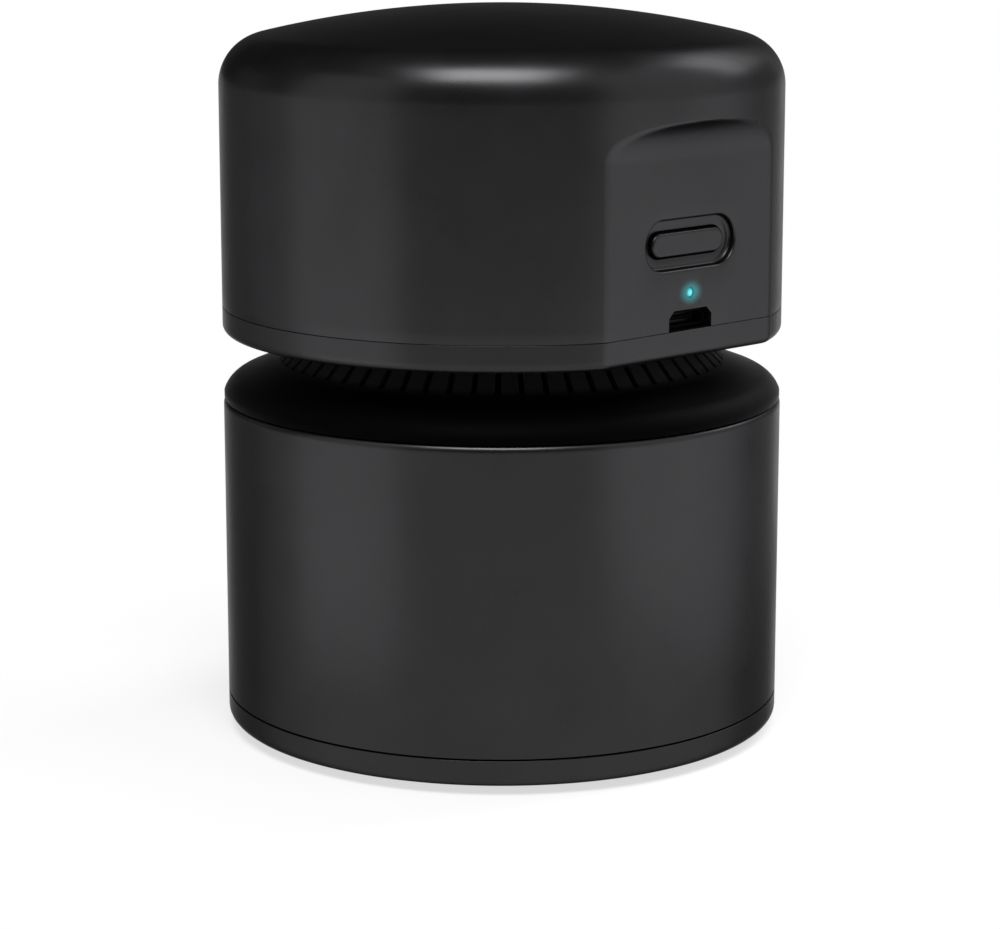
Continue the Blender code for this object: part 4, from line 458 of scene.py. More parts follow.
def lamp_material():
    """Lit lens, brightest at its middle."""
    made = finish("lit_lens", LENS_COLOUR, 0.25, spread=0.02, relief=0.001, strength=0.1)
    tree = made.node_tree
    shader = tree.nodes["Principled BSDF"]
    away = vector_math(tree, "DISTANCE", object_position(tree), (0.0, LAMP_FRONT, LAMP_LEVEL))["Value"]
    shader.inputs["Emission Color"].default_value = plain_colour(LENS_LIGHT)
    fade = remap(tree, away, 1.0, 0.35, LENS_CORE_RADIUS, LAMP_RADIUS)
    tree.links.new(fade, shader.inputs["Emission Strength"])
    return made


def all_materials():
    materials = {
        "shell": shell_material(),
        "neck": neck_material(),
        "lamp": lamp_material(),
        "button": satin_finish("black_button"),
    }
    for kind, (name, colour, roughness, others) in FINISHES.items():
        materials[kind] = finish(name, colour, roughness, **others)
    return materials


# Mesh helpers

def add_object(name, data):
    obj = bpy.data.objects.new(name, data)
    bpy.context.scene.collection.objects.link(obj)
    return obj


def clean_mesh(name, vertices, faces):
    """A mesh whose touching points are joined and whose faces look outwards."""
    mesh = bpy.data.meshes.new(name)
    mesh.from_pydata([tuple(v) for v in vertices], [], faces)
    shape = bmesh.new()
    shape.from_mesh(mesh)
    bmesh.ops.remove_doubles(shape, verts=shape.verts, dist=WELD_DISTANCE)
    bmesh.ops.recalc_face_normals(shape, faces=shape.faces)
    shape.to_mesh(mesh)
    shape.free()
    return mesh


def shade(mesh):
    mesh.shade_smooth()
    mesh.set_sharp_from_angle(angle=SHARP_ANGLE)


def weigh(piece):
    """Corner normals follow the largest faces, so that flat faces look flat beside small rounds."""
    modifier = piece.modifiers.new("weighted_normals", "WEIGHTED_NORMAL")
    modifier.keep_sharp = True
    modifier.weight = 100


def new_piece(name, vertices, faces, material, body, slot, nodes=()):
    """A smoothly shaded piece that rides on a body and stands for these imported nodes."""
    mesh = clean_mesh(name, vertices, faces)
    shade(mesh)
    mesh.materials.append(material)
    obj = add_object(name, mesh)
    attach(obj, body)
    if nodes:
        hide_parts(*nodes)
    return obj


def joined(parts):
    """One list of vertices and one of faces from several such pairs."""
    vertices = []
    faces = []
    for more_vertices, more_faces in parts:
        shift = len(vertices)
        vertices += more_vertices
        faces += [tuple(v + shift for v in face) for face in more_faces]
    return vertices, faces


def spaced(first, *stops):
    """Values from the first up to the last stop, each stop reached in its count of even steps."""
    values = []
    for stop, count in stops:
        values += [first + (stop - first) * k / count for k in range(count)]
        first = stop
    return values + [first]


def line_points(first, last, steps):
    return [(first[0] + (last[0] - first[0]) * k / steps, first[1] + (last[1] - first[1]) * k / steps)
            for k in range(steps + 1)]


def quarter_round(radius, steps):
    """(inset, depth) pairs over a quarter round, from its full inset to its full depth."""
    angles = spaced(0.0, (math.pi / 2, steps))
    return [(radius * (1 - math.sin(a)), radius * (1 - math.cos(a))) for a in angles]


def rounded(corners, steps=5):
    """A closed outline whose (x, z, radius) corners are rounded by their radius."""
    points = []
    count = len(corners)
    for i, (x, z, radius) in enumerate(corners):
        corner = Vector((x, z))
        if radius <= 0:
            points.append(corner)
            continue
        before = (Vector(corners[i - 1][:2]) - corner).normalized()
        after = (Vector(corners[(i + 1) % count][:2]) - corner).normalized()
        half = before.angle(after) / 2
        reach = radius / math.tan(half)
        centre = corner + (before + after).normalized() * (radius / math.sin(half))
        start = corner + before * reach - centre
        end = corner + after * reach - centre
        flank = reach + radius * FLANK_SHARE
        points.append(corner + before * flank)
        for k in range(steps + 1):
            points.append(centre + start.slerp(end, k / steps).normalized() * radius)
        points.append(corner + after * flank)
    return [(p[0], p[1]) for p in points]


def loft(rings, closed_rings=True, closed_path=False):
    """Faces between rings of the same count of points, given one after the other."""
    vertices = [p for ring in rings for p in ring]
    width = len(rings[0])
    faces = []
    rows = len(rings) if closed_path else len(rings) - 1
    columns = width if closed_rings else width - 1
    for i in range(rows):
        a = i * width
        b = ((i + 1) % len(rings)) * width
        for j in range(columns):
            k = (j + 1) % width
            faces.append((a + j, a + k, b + k, b + j))
    return vertices, faces


def arc(centre, radius, angles):
    return [(centre[0] + radius * math.cos(a), centre[1] + radius * math.sin(a)) for a in angles]


def circle(radius, level, columns, at=(0.0, 0.0)):
    step = 2 * math.pi / columns
    return [(x, y, level) for x, y in arc(at, radius, [j * step for j in range(columns)])]


def turned(profile, columns=COLUMNS, at=(0.0, 0.0)):
    """A closed (radius, level) outline turned about an upright axis."""
    return loft([circle(max(r, 0.0), z, columns, at) for r, z in profile], closed_path=True)


def turned_piece(name, profile, material, body, slot, nodes=(), columns=COLUMNS, at=(0.0, 0.0)):
    return new_piece(name, *turned(profile, columns, at), material, body, slot, nodes)


def circle_places(radius, count):
    return arc((0.0, 0.0), radius, [math.pi / 2 + 2 * math.pi * i / count for i in range(count)])


def node_place(name):
    """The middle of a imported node, seen from above, and its lowest and highest level."""
    low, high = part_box(name)
    return ((low[0] + high[0]) / 2, (low[1] + high[1]) / 2), low[2], high[2]


def cutter(name, vertices, faces):
    return add_object(name, clean_mesh(name, vertices, faces))


def pegs(name, places, radius, low, high):
    """Upright pegs that cut a hole at each place."""
    profile = [(0.0, low), (radius, low), (radius, high), (0.0, high)]
    return cutter(name, *joined([turned(profile, FINE_COLUMNS, at) for at in places]))


def cut(piece, tools):
    """Cuts the tools out of a piece and applies the result."""
    for tool in tools:
        modifier = piece.modifiers.new(tool.name, "BOOLEAN")
        modifier.operation = "DIFFERENCE"
        modifier.solver = "EXACT"
        modifier.object = tool
    bpy.context.view_layer.update()
    graph = bpy.context.evaluated_depsgraph_get()
    mesh = bpy.data.meshes.new_from_object(piece.evaluated_get(graph))
    piece.modifiers.clear()
    old = piece.data
    piece.data = mesh
    bpy.data.meshes.remove(old)
    for tool in tools:
        bpy.data.objects.remove(tool, do_unlink=True)
    shade(mesh)
    weigh(piece)


# The head's outer form

def soft_least(first, second, width):
    """The lesser of two values, with the change from one to the other rounded off."""
    near = max(width - abs(first - second), 0.0) / width
    return min(first, second) - near * near * width / 4


def panel_limit(level, depth):
    """How far out the panel lets the surface go at this level: flat, then a cove up to its top."""
    centre = PANEL_DEPTH + COVE_RADIUS
    radius = centre - depth
    above = level - PANEL_TOP
    if above <= 0:
        return depth
    if above < radius:
        return centre - math.sqrt(radius * radius - above * above)
    return centre


def edge_softness(level):
    """The panel's edge is crisp up its sides and rounder along the cove."""
    share = min(max((level - PANEL_TOP) / (COVE_RADIUS / 2), 0.0), 1.0)
    return PANEL_EDGE_SOFTNESS + (COVE_EDGE_SOFTNESS - PANEL_EDGE_SOFTNESS) * share


def panel_columns():
    """Angles from the panel's middle, close together across the panel and wide round the back."""
    across = spaced(0.0, (NOTCH_RIM, 11), (WINDOW_HALF_WIDTH, 19), (PANEL_NEAR_EDGE, 13))[:-1]
    angles = [math.atan2(x, PANEL_DEPTH) for x in across]
    angles += [math.radians(a) for a in spaced(22.33, (25.1, 21), (31.0, 9), (180.0, 99))]
    return [-a for a in reversed(angles[1:-1])] + angles


PANEL_COLUMNS = panel_columns()


def head_ring(radius, level, depth, softness):
    """One ring of the head: a circle, limited by the panel."""
    ring = []
    for angle in PANEL_COLUMNS:
        limit = 10 * BODY_RADIUS
        if math.cos(angle) > 0:
            limit = depth / max(math.cos(angle), 0.05)
        r = soft_least(radius, limit, softness)
        ring.append((r * math.sin(angle), -r * math.cos(angle), level))
    return ring


def crown(wall, corner_steps, dome_steps):
    """(radius, level) points over the corner's round and the dome, this far inside the outer surface."""
    corner = CORNER_RADIUS - wall
    dome = DOME_RADIUS - wall
    dome_start = math.pi / 2 - math.atan2(CORNER_CENTRE[0], CORNER_CENTRE[1] - DOME_CENTRE)
    points = arc(CORNER_CENTRE, corner, spaced(0.0, (dome_start, corner_steps)))
    start = math.asin(points[-1][0] / dome)
    angles = spaced(start, (0.0, dome_steps))[1:]
    return points + [(dome * math.sin(a), DOME_CENTRE + dome * math.cos(a)) for a in angles]


LOWER_EDGE = [(inset, HEAD_SHELL_BOTTOM + rise)
              for inset, rise in quarter_round(EDGE_ROUND, LOWER_EDGE_STEPS)]
LOWER_LEVELS = [level for _, level in LOWER_EDGE]
WINDOW_BOTTOM = LOWER_LEVELS[-1]


def head_rows():
    """(radius, level, inset, softness) of the outside of the head shell, from its lower edge to the top."""
    rows = [(BODY_RADIUS - inset, level, inset, PANEL_EDGE_SOFTNESS) for inset, level in LOWER_EDGE]
    levels = spaced(WINDOW_BOTTOM, (WINDOW_TOP, 11), (COVE_ROWS_BOTTOM, 4), (COVE_ROWS_TOP, 50))
    rows += [(BODY_RADIUS, z, 0.0, edge_softness(z)) for z in levels[1:]]
    rows += [(r, z, 0.0, COVE_EDGE_SOFTNESS) for r, z in crown(0.0, 28, 30)]
    return rows


# Openings in the panel

def inside_outline(point, outline):
    inside = False
    x, z = point
    for (x1, z1), (x2, z2) in zip(outline, outline[1:] + outline[:1]):
        if (z1 > z) != (z2 > z) and x < (x2 - x1) * (z - z1) / (z2 - z1) + x1:
            inside = not inside
    return inside


def stadium(length, width, grow=0.0):
    """Outline with straight sides and round ends about the button's centre."""
    radius = width / 2 + grow
    reach = length / 2 - width / 2
    points = []
    for side, start in ((1, -math.pi / 2), (-1, math.pi / 2)):
        points += arc((side * reach, BUTTON_LEVEL), radius, spaced(start, (start + math.pi, STADIUM_STEPS)))
        for x in spaced(side * reach, (-side * reach, STADIUM_SIDE_STEPS))[1:-1]:
            points.append((x, BUTTON_LEVEL + side * radius))
    return points


def round_outline(radius, level):
    return arc((0.0, level), radius, spaced(0.0, (2 * math.pi, OUTLINE_STEPS))[:-1])


def notch_outline(grow):
    """The socket notch's outline from its lower left end over the top to its lower right end."""
    half = NOTCH_HALF_WIDTH + grow
    top = NOTCH_TOP + grow
    cut_corner = NOTCH_CHAMFER + grow * (2 - math.sqrt(2))
    left = [(-half, z) for z in LOWER_LEVELS] + [(-half, top - cut_corner), (-half + cut_corner, top)]
    return left + [(-x, z) for x, z in reversed(left)]


def lower_inset(level):
    """How far the shell's rounded lower edge lies behind the panel at this level."""
    rise = min(max((level - HEAD_SHELL_BOTTOM) / EDGE_ROUND, 0.0), 1.0)
    return EDGE_ROUND * (1 - math.sqrt(max(1 - (1 - rise) ** 2, 0.0)))


def flat_fill(outer, holes, depth):
    """Triangles that fill an outline in the panel's plane, with holes left out."""
    points = [Vector(p) for p in outer]
    loops = [list(range(len(outer)))]
    for hole in holes:
        loops.append(list(range(len(points), len(points) + len(hole))))
        points += [Vector(p) for p in hole]
    edges = [(a, b) for loop in loops for a, b in zip(loop, loop[1:] + loop[:1])]
    found, _, triangles, *_ = delaunay_2d_cdt(points, edges, [], 0, NUDGE / 10)
    kept = []
    for triangle in triangles:
        middle = [sum(found[v][axis] for v in triangle) / 3 for axis in (0, 1)]
        if inside_outline(middle, outer) and not any(inside_outline(middle, hole) for hole in holes):
            kept.append(tuple(triangle))
    return [(p[0], depth, p[1]) for p in found], kept


def upright(outline, y):
    """An (x, z) outline stood upright at this y."""
    return [(x, y, z) for x, z in outline]


def liner(outlines_with_depth):
    """The wall of an opening: outlines of the same count of points at growing depths."""
    return loft([upright(outline, -PANEL_DEPTH + depth) for outline, depth in outlines_with_depth])


def near(x, limit):
    return abs(x) < limit - NUDGE


def kept_faces(grid, cells, dropped):
    """The grid without the faces whose middle is dropped."""
    kept = []
    for face in cells:
        middle = [sum(grid[v][axis] for v in face) / len(face) for axis in range(3)]
        if not dropped(*middle):
            kept.append(face)
    return grid, kept


def in_window(x, y, z):
    low_notch = z < WINDOW_BOTTOM and near(x, NOTCH_RIM)
    window = WINDOW_BOTTOM < z < WINDOW_TOP and near(x, WINDOW_HALF_WIDTH)
    return y < 0 and (low_notch or window)


def behind_window(x, y, z):
    under_notch = near(x, NOTCH_RIM) and z < HEAD_SHELL_BOTTOM + NUDGE
    behind = near(x, BEHIND_WINDOW) and z < WINDOW_TOP
    return y < 0 and (under_notch or behind)


def panel_window(rows):
    """The panel's flat middle with the recess, the lamp hole and the socket notch left out."""
    places = [PANEL_DEPTH * math.tan(a) for a in PANEL_COLUMNS if abs(a) < 1.0]
    xs = sorted({round(x, 9) for x in places if abs(x) < WINDOW_HALF_WIDTH + NUDGE})
    zs = [z for _, z, _, _ in rows if WINDOW_BOTTOM - NUDGE / 2 < z < WINDOW_TOP + NUDGE / 2]
    outer = [(x, WINDOW_BOTTOM) for x in xs if x < -NOTCH_RIM - NUDGE]
    outer += [p for p in notch_outline(EDGE_ROUND) if p[1] > WINDOW_BOTTOM - NUDGE / 2]
    outer += [(x, WINDOW_BOTTOM) for x in xs if x > NOTCH_RIM + NUDGE]
    outer += [(xs[-1], z) for z in zs[1:-1]]
    outer += [(x, zs[-1]) for x in reversed(xs)]
    outer += [(xs[0], z) for z in reversed(zs[1:-1])]
    holes = [
        stadium(RECESS_LENGTH, RECESS_WIDTH, RECESS_ROUND),
        round_outline(LAMP_HOLE_RADIUS + LAMP_HOLE_ROUND, LAMP_LEVEL),
    ]
    return flat_fill(outer, holes, -PANEL_DEPTH)


def recess_parts():
    """The button's recess: rounded rim, wall, rounded foot and a floor with the button's opening."""
    size = (RECESS_LENGTH, RECESS_WIDTH)
    wall = [(stadium(*size, grow), depth) for grow, depth in quarter_round(RECESS_ROUND, 4)]
    wall += [(stadium(*size, -inset), RECESS_FLOOR_DEPTH - rise)
             for rise, inset in quarter_round(RECESS_FOOT_ROUND, 6)]
    flat = flat_fill(stadium(*size, -RECESS_FOOT_ROUND), [stadium(*BUTTON_OPENING, OPENING_ROUND)],
                     -PANEL_DEPTH + RECESS_FLOOR_DEPTH)
    opening = [(stadium(*BUTTON_OPENING, grow), RECESS_FLOOR_DEPTH + depth)
               for grow, depth in quarter_round(OPENING_ROUND, 2)]
    opening.append((stadium(*BUTTON_OPENING), PANEL_DEPTH - PANEL_INNER_DEPTH))
    return [liner(wall), flat, liner(opening)]


def lamp_hole():
    wall = [(round_outline(LAMP_HOLE_RADIUS + grow, LAMP_LEVEL), depth)
            for grow, depth in quarter_round(LAMP_HOLE_ROUND, 3)]
    wall.append((round_outline(LAMP_HOLE_RADIUS, LAMP_LEVEL), PANEL_DEPTH - PANEL_INNER_DEPTH))
    return liner(wall)


def notch_wall():
    rings = []
    for grow, depth in quarter_round(EDGE_ROUND, 4) + [(0.0, PANEL_DEPTH - PANEL_INNER_DEPTH)]:
        rings.append([(x, -PANEL_DEPTH + max(depth, lower_inset(z)), z) for x, z in notch_outline(grow)])
    return loft(rings, closed_rings=False)


def inner_wall():
    """The flat lower edge and the inside of the shell, left open behind the panel's window."""
    rings = [head_ring(BODY_RADIUS - EDGE_ROUND, HEAD_SHELL_BOTTOM, PANEL_DEPTH - EDGE_ROUND,
                       PANEL_EDGE_SOFTNESS)]
    rows = [(INNER_RADIUS, HEAD_SHELL_BOTTOM)]
    rows += [(INNER_RADIUS, z) for z in spaced(WINDOW_TOP, (CORNER_CENTRE[1], 9))]
    rows += crown(SHELL_WALL, 6, 6)[1:]
    rings += [head_ring(r, z, panel_limit(z, PANEL_INNER_DEPTH), SOFT / 5) for r, z in rows]
    return kept_faces(*loft(rings), behind_window)


def head_shell(materials):
    rows = head_rows()
    rings = [head_ring(r, z, panel_limit(z, PANEL_DEPTH) - inset, soft) for r, z, inset, soft in rows]
    parts = [kept_faces(*loft(rings), in_window), panel_window(rows)]
    parts += recess_parts()
    parts += [lamp_hole(), notch_wall(), inner_wall()]
    new_piece("head_skin", *joined(parts), materials["shell"], "power_head", "shell_black", ["head_shell"])


def floor_limit(radius, level):
    """How far out the panel lets the head's floor ring go."""
    if level > HEAD_RING_TOP + NUDGE:
        return LIP_DEPTH - (LIP_RADIUS - radius)
    if level > HEAD_PLATE_TOP - NUDGE and radius < LIP_INNER_RADIUS + NUDGE:
        return LIP_DEPTH - (LIP_RADIUS - LIP_INNER_RADIUS)
    if level > HEAD_RING_TOP - NUDGE and radius < LIP_RADIUS + NUDGE:
        return LIP_DEPTH
    return PANEL_DEPTH - (BODY_RADIUS - radius)


def head_base(materials):
    """Floor ring of the head, with the panel's flat, a rounded lower edge and sunk screws."""
    profile = rounded([
        (BODY_RADIUS, HEAD_RING_TOP, EDGE_ROUND),
        (BODY_RADIUS, HEAD_BOTTOM, HEAD_EDGE_ROUND),
        (NOSE_HOLE_RADIUS, HEAD_BOTTOM, 2 * SOFT),
        (NOSE_HOLE_RADIUS, HEAD_PLATE_TOP, 2 * SOFT),
        (LIP_INNER_RADIUS, HEAD_PLATE_TOP, 0.0),
        (LIP_INNER_RADIUS, HEAD_LIP_TOP, 2 * SOFT),
        (LIP_RADIUS, HEAD_LIP_TOP, 2 * SOFT),
        (LIP_RADIUS, HEAD_RING_TOP, 0.0),
    ], 6)
    rings = []
    for r, z in profile:
        softness = PANEL_EDGE_SOFTNESS if r > CRISP_RADIUS else SOFT / 10
        rings.append(head_ring(r, z, max(floor_limit(r, z), SOFT), softness))
    piece = new_piece("head_floor", *loft(rings, closed_path=True), materials["shell"], "power_head",
                      "shell_black", ["head_base"])
    corner = circle_places(HEAD_SCREW_CIRCLE, 3)
    motor = [(MOTOR_SCREW_REACH, 0.0), (-MOTOR_SCREW_REACH, 0.0)]
    under = HEAD_BOTTOM - CUT_OVERRUN
    over = HEAD_LIP_TOP + CUT_OVERRUN
    cut(piece, [
        pegs("corner_sinks", corner, HEAD_SINK_RADIUS, under, HEAD_SINK_TOP),
        pegs("corner_holes", corner, HEAD_HOLE_RADIUS, under, over),
        pegs("motor_sinks", motor, MOTOR_SINK_RADIUS, under, MOTOR_SINK_TOP),
        pegs("motor_holes", motor, MOTOR_HOLE_RADIUS, under, over),
        pegs("pillar_pilots", circle_places(PILLAR_CIRCLE, 3), HEAD_HOLE_RADIUS, under, over),
    ])


# Screws

def screw_profile(seat, bottom, head, shank, top):
    """Domed head from its lowest point up to the seat, then a threaded shank."""
    deep = seat - bottom
    root = shank * 0.82
    pitch = shank * 0.7
    profile = [(0.0, bottom + deep * 0.08), (head * 0.55, bottom), (head * 0.85, bottom + deep * 0.10),
               (head, bottom + deep * 0.35), (head, seat), (shank, seat)]
    level = seat + pitch
    while level < top - pitch:
        profile += [(root, level), (shank, level + pitch / 2)]
        level += pitch
    return profile + [(root, top - pitch * 0.5), (shank * 0.4, top), (0.0, top)]


def recess_bar(name, at, reach, half, low, high):
    """One arm pair of the cross recess, narrower towards its floor."""
    corners = [(at[0] + sx * reach * share, at[1] + sy * half * share, z)
               for z, share in ((low, 1.2), (high, 0.75))
               for sx, sy in ((-1, -1), (1, -1), (1, 1), (-1, 1))]
    sides = [(0, 1, 2, 3), (7, 6, 5, 4), (0, 4, 5, 1), (1, 5, 6, 2), (2, 6, 7, 3), (3, 7, 4, 0)]
    return cutter(name, corners, sides)


def screws(materials):
    """Pan-head screws, head down, with a cross recess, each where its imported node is."""
    for kind, (count, body, head, deep, shank) in SCREWS.items():
        for i in range(count):
            node_name = f"{kind}_{i + 1}"
            name = node_name + "_fine"
            at, bottom, top = node_place(node_name)
            profile = screw_profile(bottom + deep, bottom, head, shank, top)
            piece = turned_piece(name, profile, materials["screw"], body, "screw_steel", [node_name], 32, at)
            low = bottom - deep
            high = bottom + deep * 0.55
            reach = head * 0.62
            half = head * 0.16
            cut(piece, [
                recess_bar(name + "_long", at, reach, half, low, high),
                recess_bar(name + "_cross", at, half, reach, low, high),
            ])


# Neck and shoulder

def slotted_ring(radius, level):
    """One ring of the neck, with points across each slot and across each rib."""
    step = 2 * math.pi / VENT_COUNT
    half = math.asin(min(VENT_WIDTH / 2 / radius, 1.0))
    points = []
    for i in range(VENT_COUNT):
        middle = (i + 0.5) * step
        start = middle - half
        angles = spaced(start, (middle + half, SLOT_STEPS - 1), (start + step, RIB_STEPS))[:-1]
        points += [(x, y, level) for x, y in arc((0.0, 0.0), radius, angles)]
    return points


def slotted_faces(rings, last_row):
    """Faces between rings, left open at the slots from the second ring to the last row."""
    vertices, faces = loft(rings)
    width = len(rings[0])
    kept = []
    for face in faces:
        row, column = divmod(face[0], width)
        in_slot = column % PER_SLOT < SLOT_STEPS - 1
        if not in_slot or not 1 <= row < last_row:
            kept.append(face)
    return vertices, kept


def slot_walls(outer, inner, last_outer, last_inner):
    """Each slot's two sides, its upper end and its lower end."""
    parts = []
    for i in range(VENT_COUNT):
        first = i * PER_SLOT
        for j in (first, first + SLOT_STEPS - 1):
            side = [outer[row][j] for row in range(1, last_outer + 1)]
            side += [inner[row][j] for row in range(last_inner, 0, -1)]
            parts.append((side, [tuple(range(len(side)))]))
        for out_row, in_row in ((1, 1), (last_outer, last_inner)):
            for j in range(first, first + SLOT_STEPS - 1):
                end = [outer[out_row][j], outer[out_row][j + 1], inner[in_row][j + 1], inner[in_row][j]]
                parts.append((end, [(0, 1, 2, 3)]))
    return parts


def shoulder_flare():
    """The shoulder's convex round, from its slope out to its edge."""
    centre = (SHOULDER_RADIUS - SHOULDER_ROUND * math.sin(SHOULDER_EDGE_ANGLE),
              SHOULDER_TOP - SHOULDER_ROUND * math.cos(SHOULDER_EDGE_ANGLE))
    angles = spaced(math.pi / 2 - SHOULDER_SLOPE, (math.pi / 2 - SHOULDER_EDGE_ANGLE, 12))
    return arc(centre, SHOULDER_ROUND, angles)


def shoulder_and_skirt(foot, inner_foot, flare):
    """Outline from the cone's foot over the shoulder, down the skirt with its groove, and up the inside."""
    slope = math.tan(SHOULDER_SLOPE)
    inner_edge = (SKIRT_INNER_RADIUS, inner_foot[1] - (SKIRT_INNER_RADIUS - inner_foot[0]) * slope)
    outline = [foot]
    outline += [(foot[0] + reach, foot[1] - reach * slope) for reach in (SOFT, 3 * SOFT, 15 * SOFT)]
    outline += flare
    edge = rounded([
        (SHOULDER_RADIUS, SHOULDER_BOTTOM, 1.2 * SOFT),
        (LIP_RADIUS, SHOULDER_BOTTOM, 0.0),
        (LIP_RADIUS, SEAL_GROOVE_TOP, SOFT),
        (GROOVE_FLOOR_RADIUS, SEAL_GROOVE_TOP, 0.0),
        (GROOVE_FLOOR_RADIUS, SEAL_GROOVE_BOTTOM, 0.0),
        (LIP_RADIUS, SEAL_GROOVE_BOTTOM, SOFT),
        (LIP_RADIUS, SKIRT_BOTTOM, 4 * SOFT),
        (SKIRT_INNER_RADIUS, SKIRT_BOTTOM, 2 * SOFT),
        (*inner_edge, 0.0),
        (*flare[-1], 0.0),
    ], 4)
    return outline + edge[:-2] + [inner_edge, inner_foot]


def vent_shroud(materials):
    """Slotted cone on a convex shoulder, with a wall round each slot, and the skirt below."""
    flare = shoulder_flare()
    foot_level = flare[0][1] + (flare[0][0] - CONE_FOOT_RADIUS) * math.tan(SHOULDER_SLOPE)
    foot = (CONE_FOOT_RADIUS, foot_level)
    outside = [(NECK_RADIUS, NECK_TOP), (NECK_RADIUS, VENT_TOP)]
    outside += line_points((NECK_RADIUS, foot_level + CONE_HEIGHT), foot, 4)
    # The inside follows the outside at the wall's thickness, and the slots end level with the cone's foot
    half_turn = (CONE_SLOPE + SHOULDER_SLOPE) / 2
    inset = NECK_WALL / math.cos((CONE_SLOPE - SHOULDER_SLOPE) / 2)
    inner_foot = (foot[0] - inset * math.sin(half_turn), foot[1] - inset * math.cos(half_turn))
    inner_neck = NECK_RADIUS - NECK_WALL
    inner_level = inner_foot[1] + (inner_foot[0] - inner_neck)
    slot_end = (inner_neck + inner_level - foot_level, foot_level)
    inside = [(inner_neck, NECK_TOP)]
    inside += line_points((inner_neck, VENT_TOP), (inner_neck, inner_level), 2)
    inside += [slot_end, inner_foot]
    outer = [slotted_ring(r, z) for r, z in outside]
    inner = [slotted_ring(r, z) for r, z in inside]
    last_outer = len(outside) - 1
    last_inner = len(inside) - 2
    parts = [slotted_faces(outer, last_outer), slotted_faces(inner, last_inner)]
    parts += slot_walls(outer, inner, last_outer, last_inner)
    parts.append(loft([outer[0], inner[0]]))
    parts.append(loft([slotted_ring(r, z) for r, z in shoulder_and_skirt(foot, inner_foot, flare)]))
    new_piece("vent_neck", *joined(parts), materials["neck"], "power_head", "neck_black", ["vent_shroud"])


# Cup and base

def cup_piece(name, corners, steps, material, nodes=(), columns=COLUMNS, at=(0.0, 0.0)):
    profile = rounded(corners, steps)
    return turned_piece(name, profile, material, "cup_assembly", "shell_black", nodes, columns, at)


def cup_pieces(materials):
    shell = materials["shell"]
    cup_piece("cup_wall", [
        (BODY_RADIUS, CUP_RIM, CUP_RIM_ROUND),
        (BODY_RADIUS, CUP_BOTTOM, EDGE_ROUND),
        (CUP_REBATE_RADIUS, CUP_BOTTOM, SOFT),
        (CUP_REBATE_RADIUS, CUP_REBATE_TOP, 0.0),
        (INNER_RADIUS, CUP_REBATE_TOP, SOFT),
        (INNER_RADIUS, CUP_RIM, 2 * SOFT),
    ], 6, shell, ["dust_cup"])
    base_cover(shell)
    weigh(cup_piece("cup_bottom", [
        (CUP_FLOOR_RADIUS, CUP_FLOOR_TOP, 1.5 * SOFT),
        (CUP_FLOOR_RADIUS, CUP_FLOOR_BOTTOM, 1.5 * SOFT),
        (CUP_FLOOR_HOLE, CUP_FLOOR_BOTTOM, 1.5 * SOFT),
        (CUP_FLOOR_HOLE, CUP_FLOOR_TOP, 1.5 * SOFT),
    ], 3, shell, ["cup_floor"]))
    for i, at in enumerate(circle_places(BASE_SCREW_CIRCLE, 3)):
        cup_piece(f"cup_boss_{i + 1}", [
            (BOSS_RADIUS, BOSS_TOP, 0.0),
            (BOSS_RADIUS, BOSS_BOTTOM, 2 * SOFT),
            (BASE_HOLE_RADIUS, BOSS_BOTTOM, SOFT),
            (BASE_HOLE_RADIUS, BOSS_TOP, 0.0),
        ], 3, shell, (), FINE_COLUMNS, at)
    cup_piece("intake_pipe", [
        (TUBE_RADIUS, TUBE_TOP, 5 * SOFT),
        (TUBE_RADIUS, TUBE_COLLAR_TOP, 3 * SOFT),
        (TUBE_COLLAR_RADIUS, TUBE_COLLAR_TOP, 3 * SOFT),
        (TUBE_COLLAR_RADIUS, CUP_REBATE_TOP, SOFT),
        (TUBE_RADIUS, CUP_REBATE_TOP, 0.0),
        (TUBE_RADIUS, BOSS_BOTTOM, SOFT),
        (MOUTH_RADIUS, BOSS_BOTTOM, SOFT),
        (MOUTH_RADIUS, TUBE_TOP, 5 * SOFT),
    ], 5, shell, ["intake_tube"], 128)


def base_cover(shell):
    """Base ring with the brush's groove, the flared suction mouth and sunk screws."""
    cover = cup_piece("base_ring", [
        (BODY_RADIUS, BASE_TOP, EDGE_ROUND),
        (BODY_RADIUS, BASE_BOTTOM, BASE_EDGE_ROUND),
        (BASE_SKIRT_INNER_RADIUS, BASE_BOTTOM, 4 * SOFT),
        (BASE_SKIRT_INNER_RADIUS, BASE_PLATE_BOTTOM, 3 * SOFT),
        (GROOVE_OUTER_RADIUS, BASE_PLATE_BOTTOM, 1.5 * SOFT),
        (GROOVE_OUTER_RADIUS, GROOVE_TOP, 0.0),
        (GROOVE_INNER_RADIUS, GROOVE_TOP, 0.0),
        (GROOVE_INNER_RADIUS, BASE_PLATE_BOTTOM, 1.5 * SOFT),
        (MOUTH_RADIUS + MOUTH_FLARE, BASE_PLATE_BOTTOM, 3 * SOFT),
        (MOUTH_RADIUS, MOUTH_LEVEL, 3 * SOFT),
        (MOUTH_RADIUS, BASE_TOP, 0.0),
        (LIP_INNER_RADIUS, BASE_TOP, 2 * SOFT),
        (LIP_INNER_RADIUS, BASE_LIP_TOP, 2 * SOFT),
        (LIP_RADIUS, BASE_LIP_TOP, 2 * SOFT),
        (LIP_RADIUS, BASE_TOP, 0.0),
    ], 6, shell, ["base_cover"])
    places = circle_places(BASE_SCREW_CIRCLE, 3)
    cut(cover, [
        pegs("base_sinks", places, BASE_SINK_RADIUS, BASE_BOTTOM, BASE_SINK_TOP),
        pegs("base_holes", places, BASE_HOLE_RADIUS, BASE_BOTTOM, BASE_LIP_TOP),
    ])


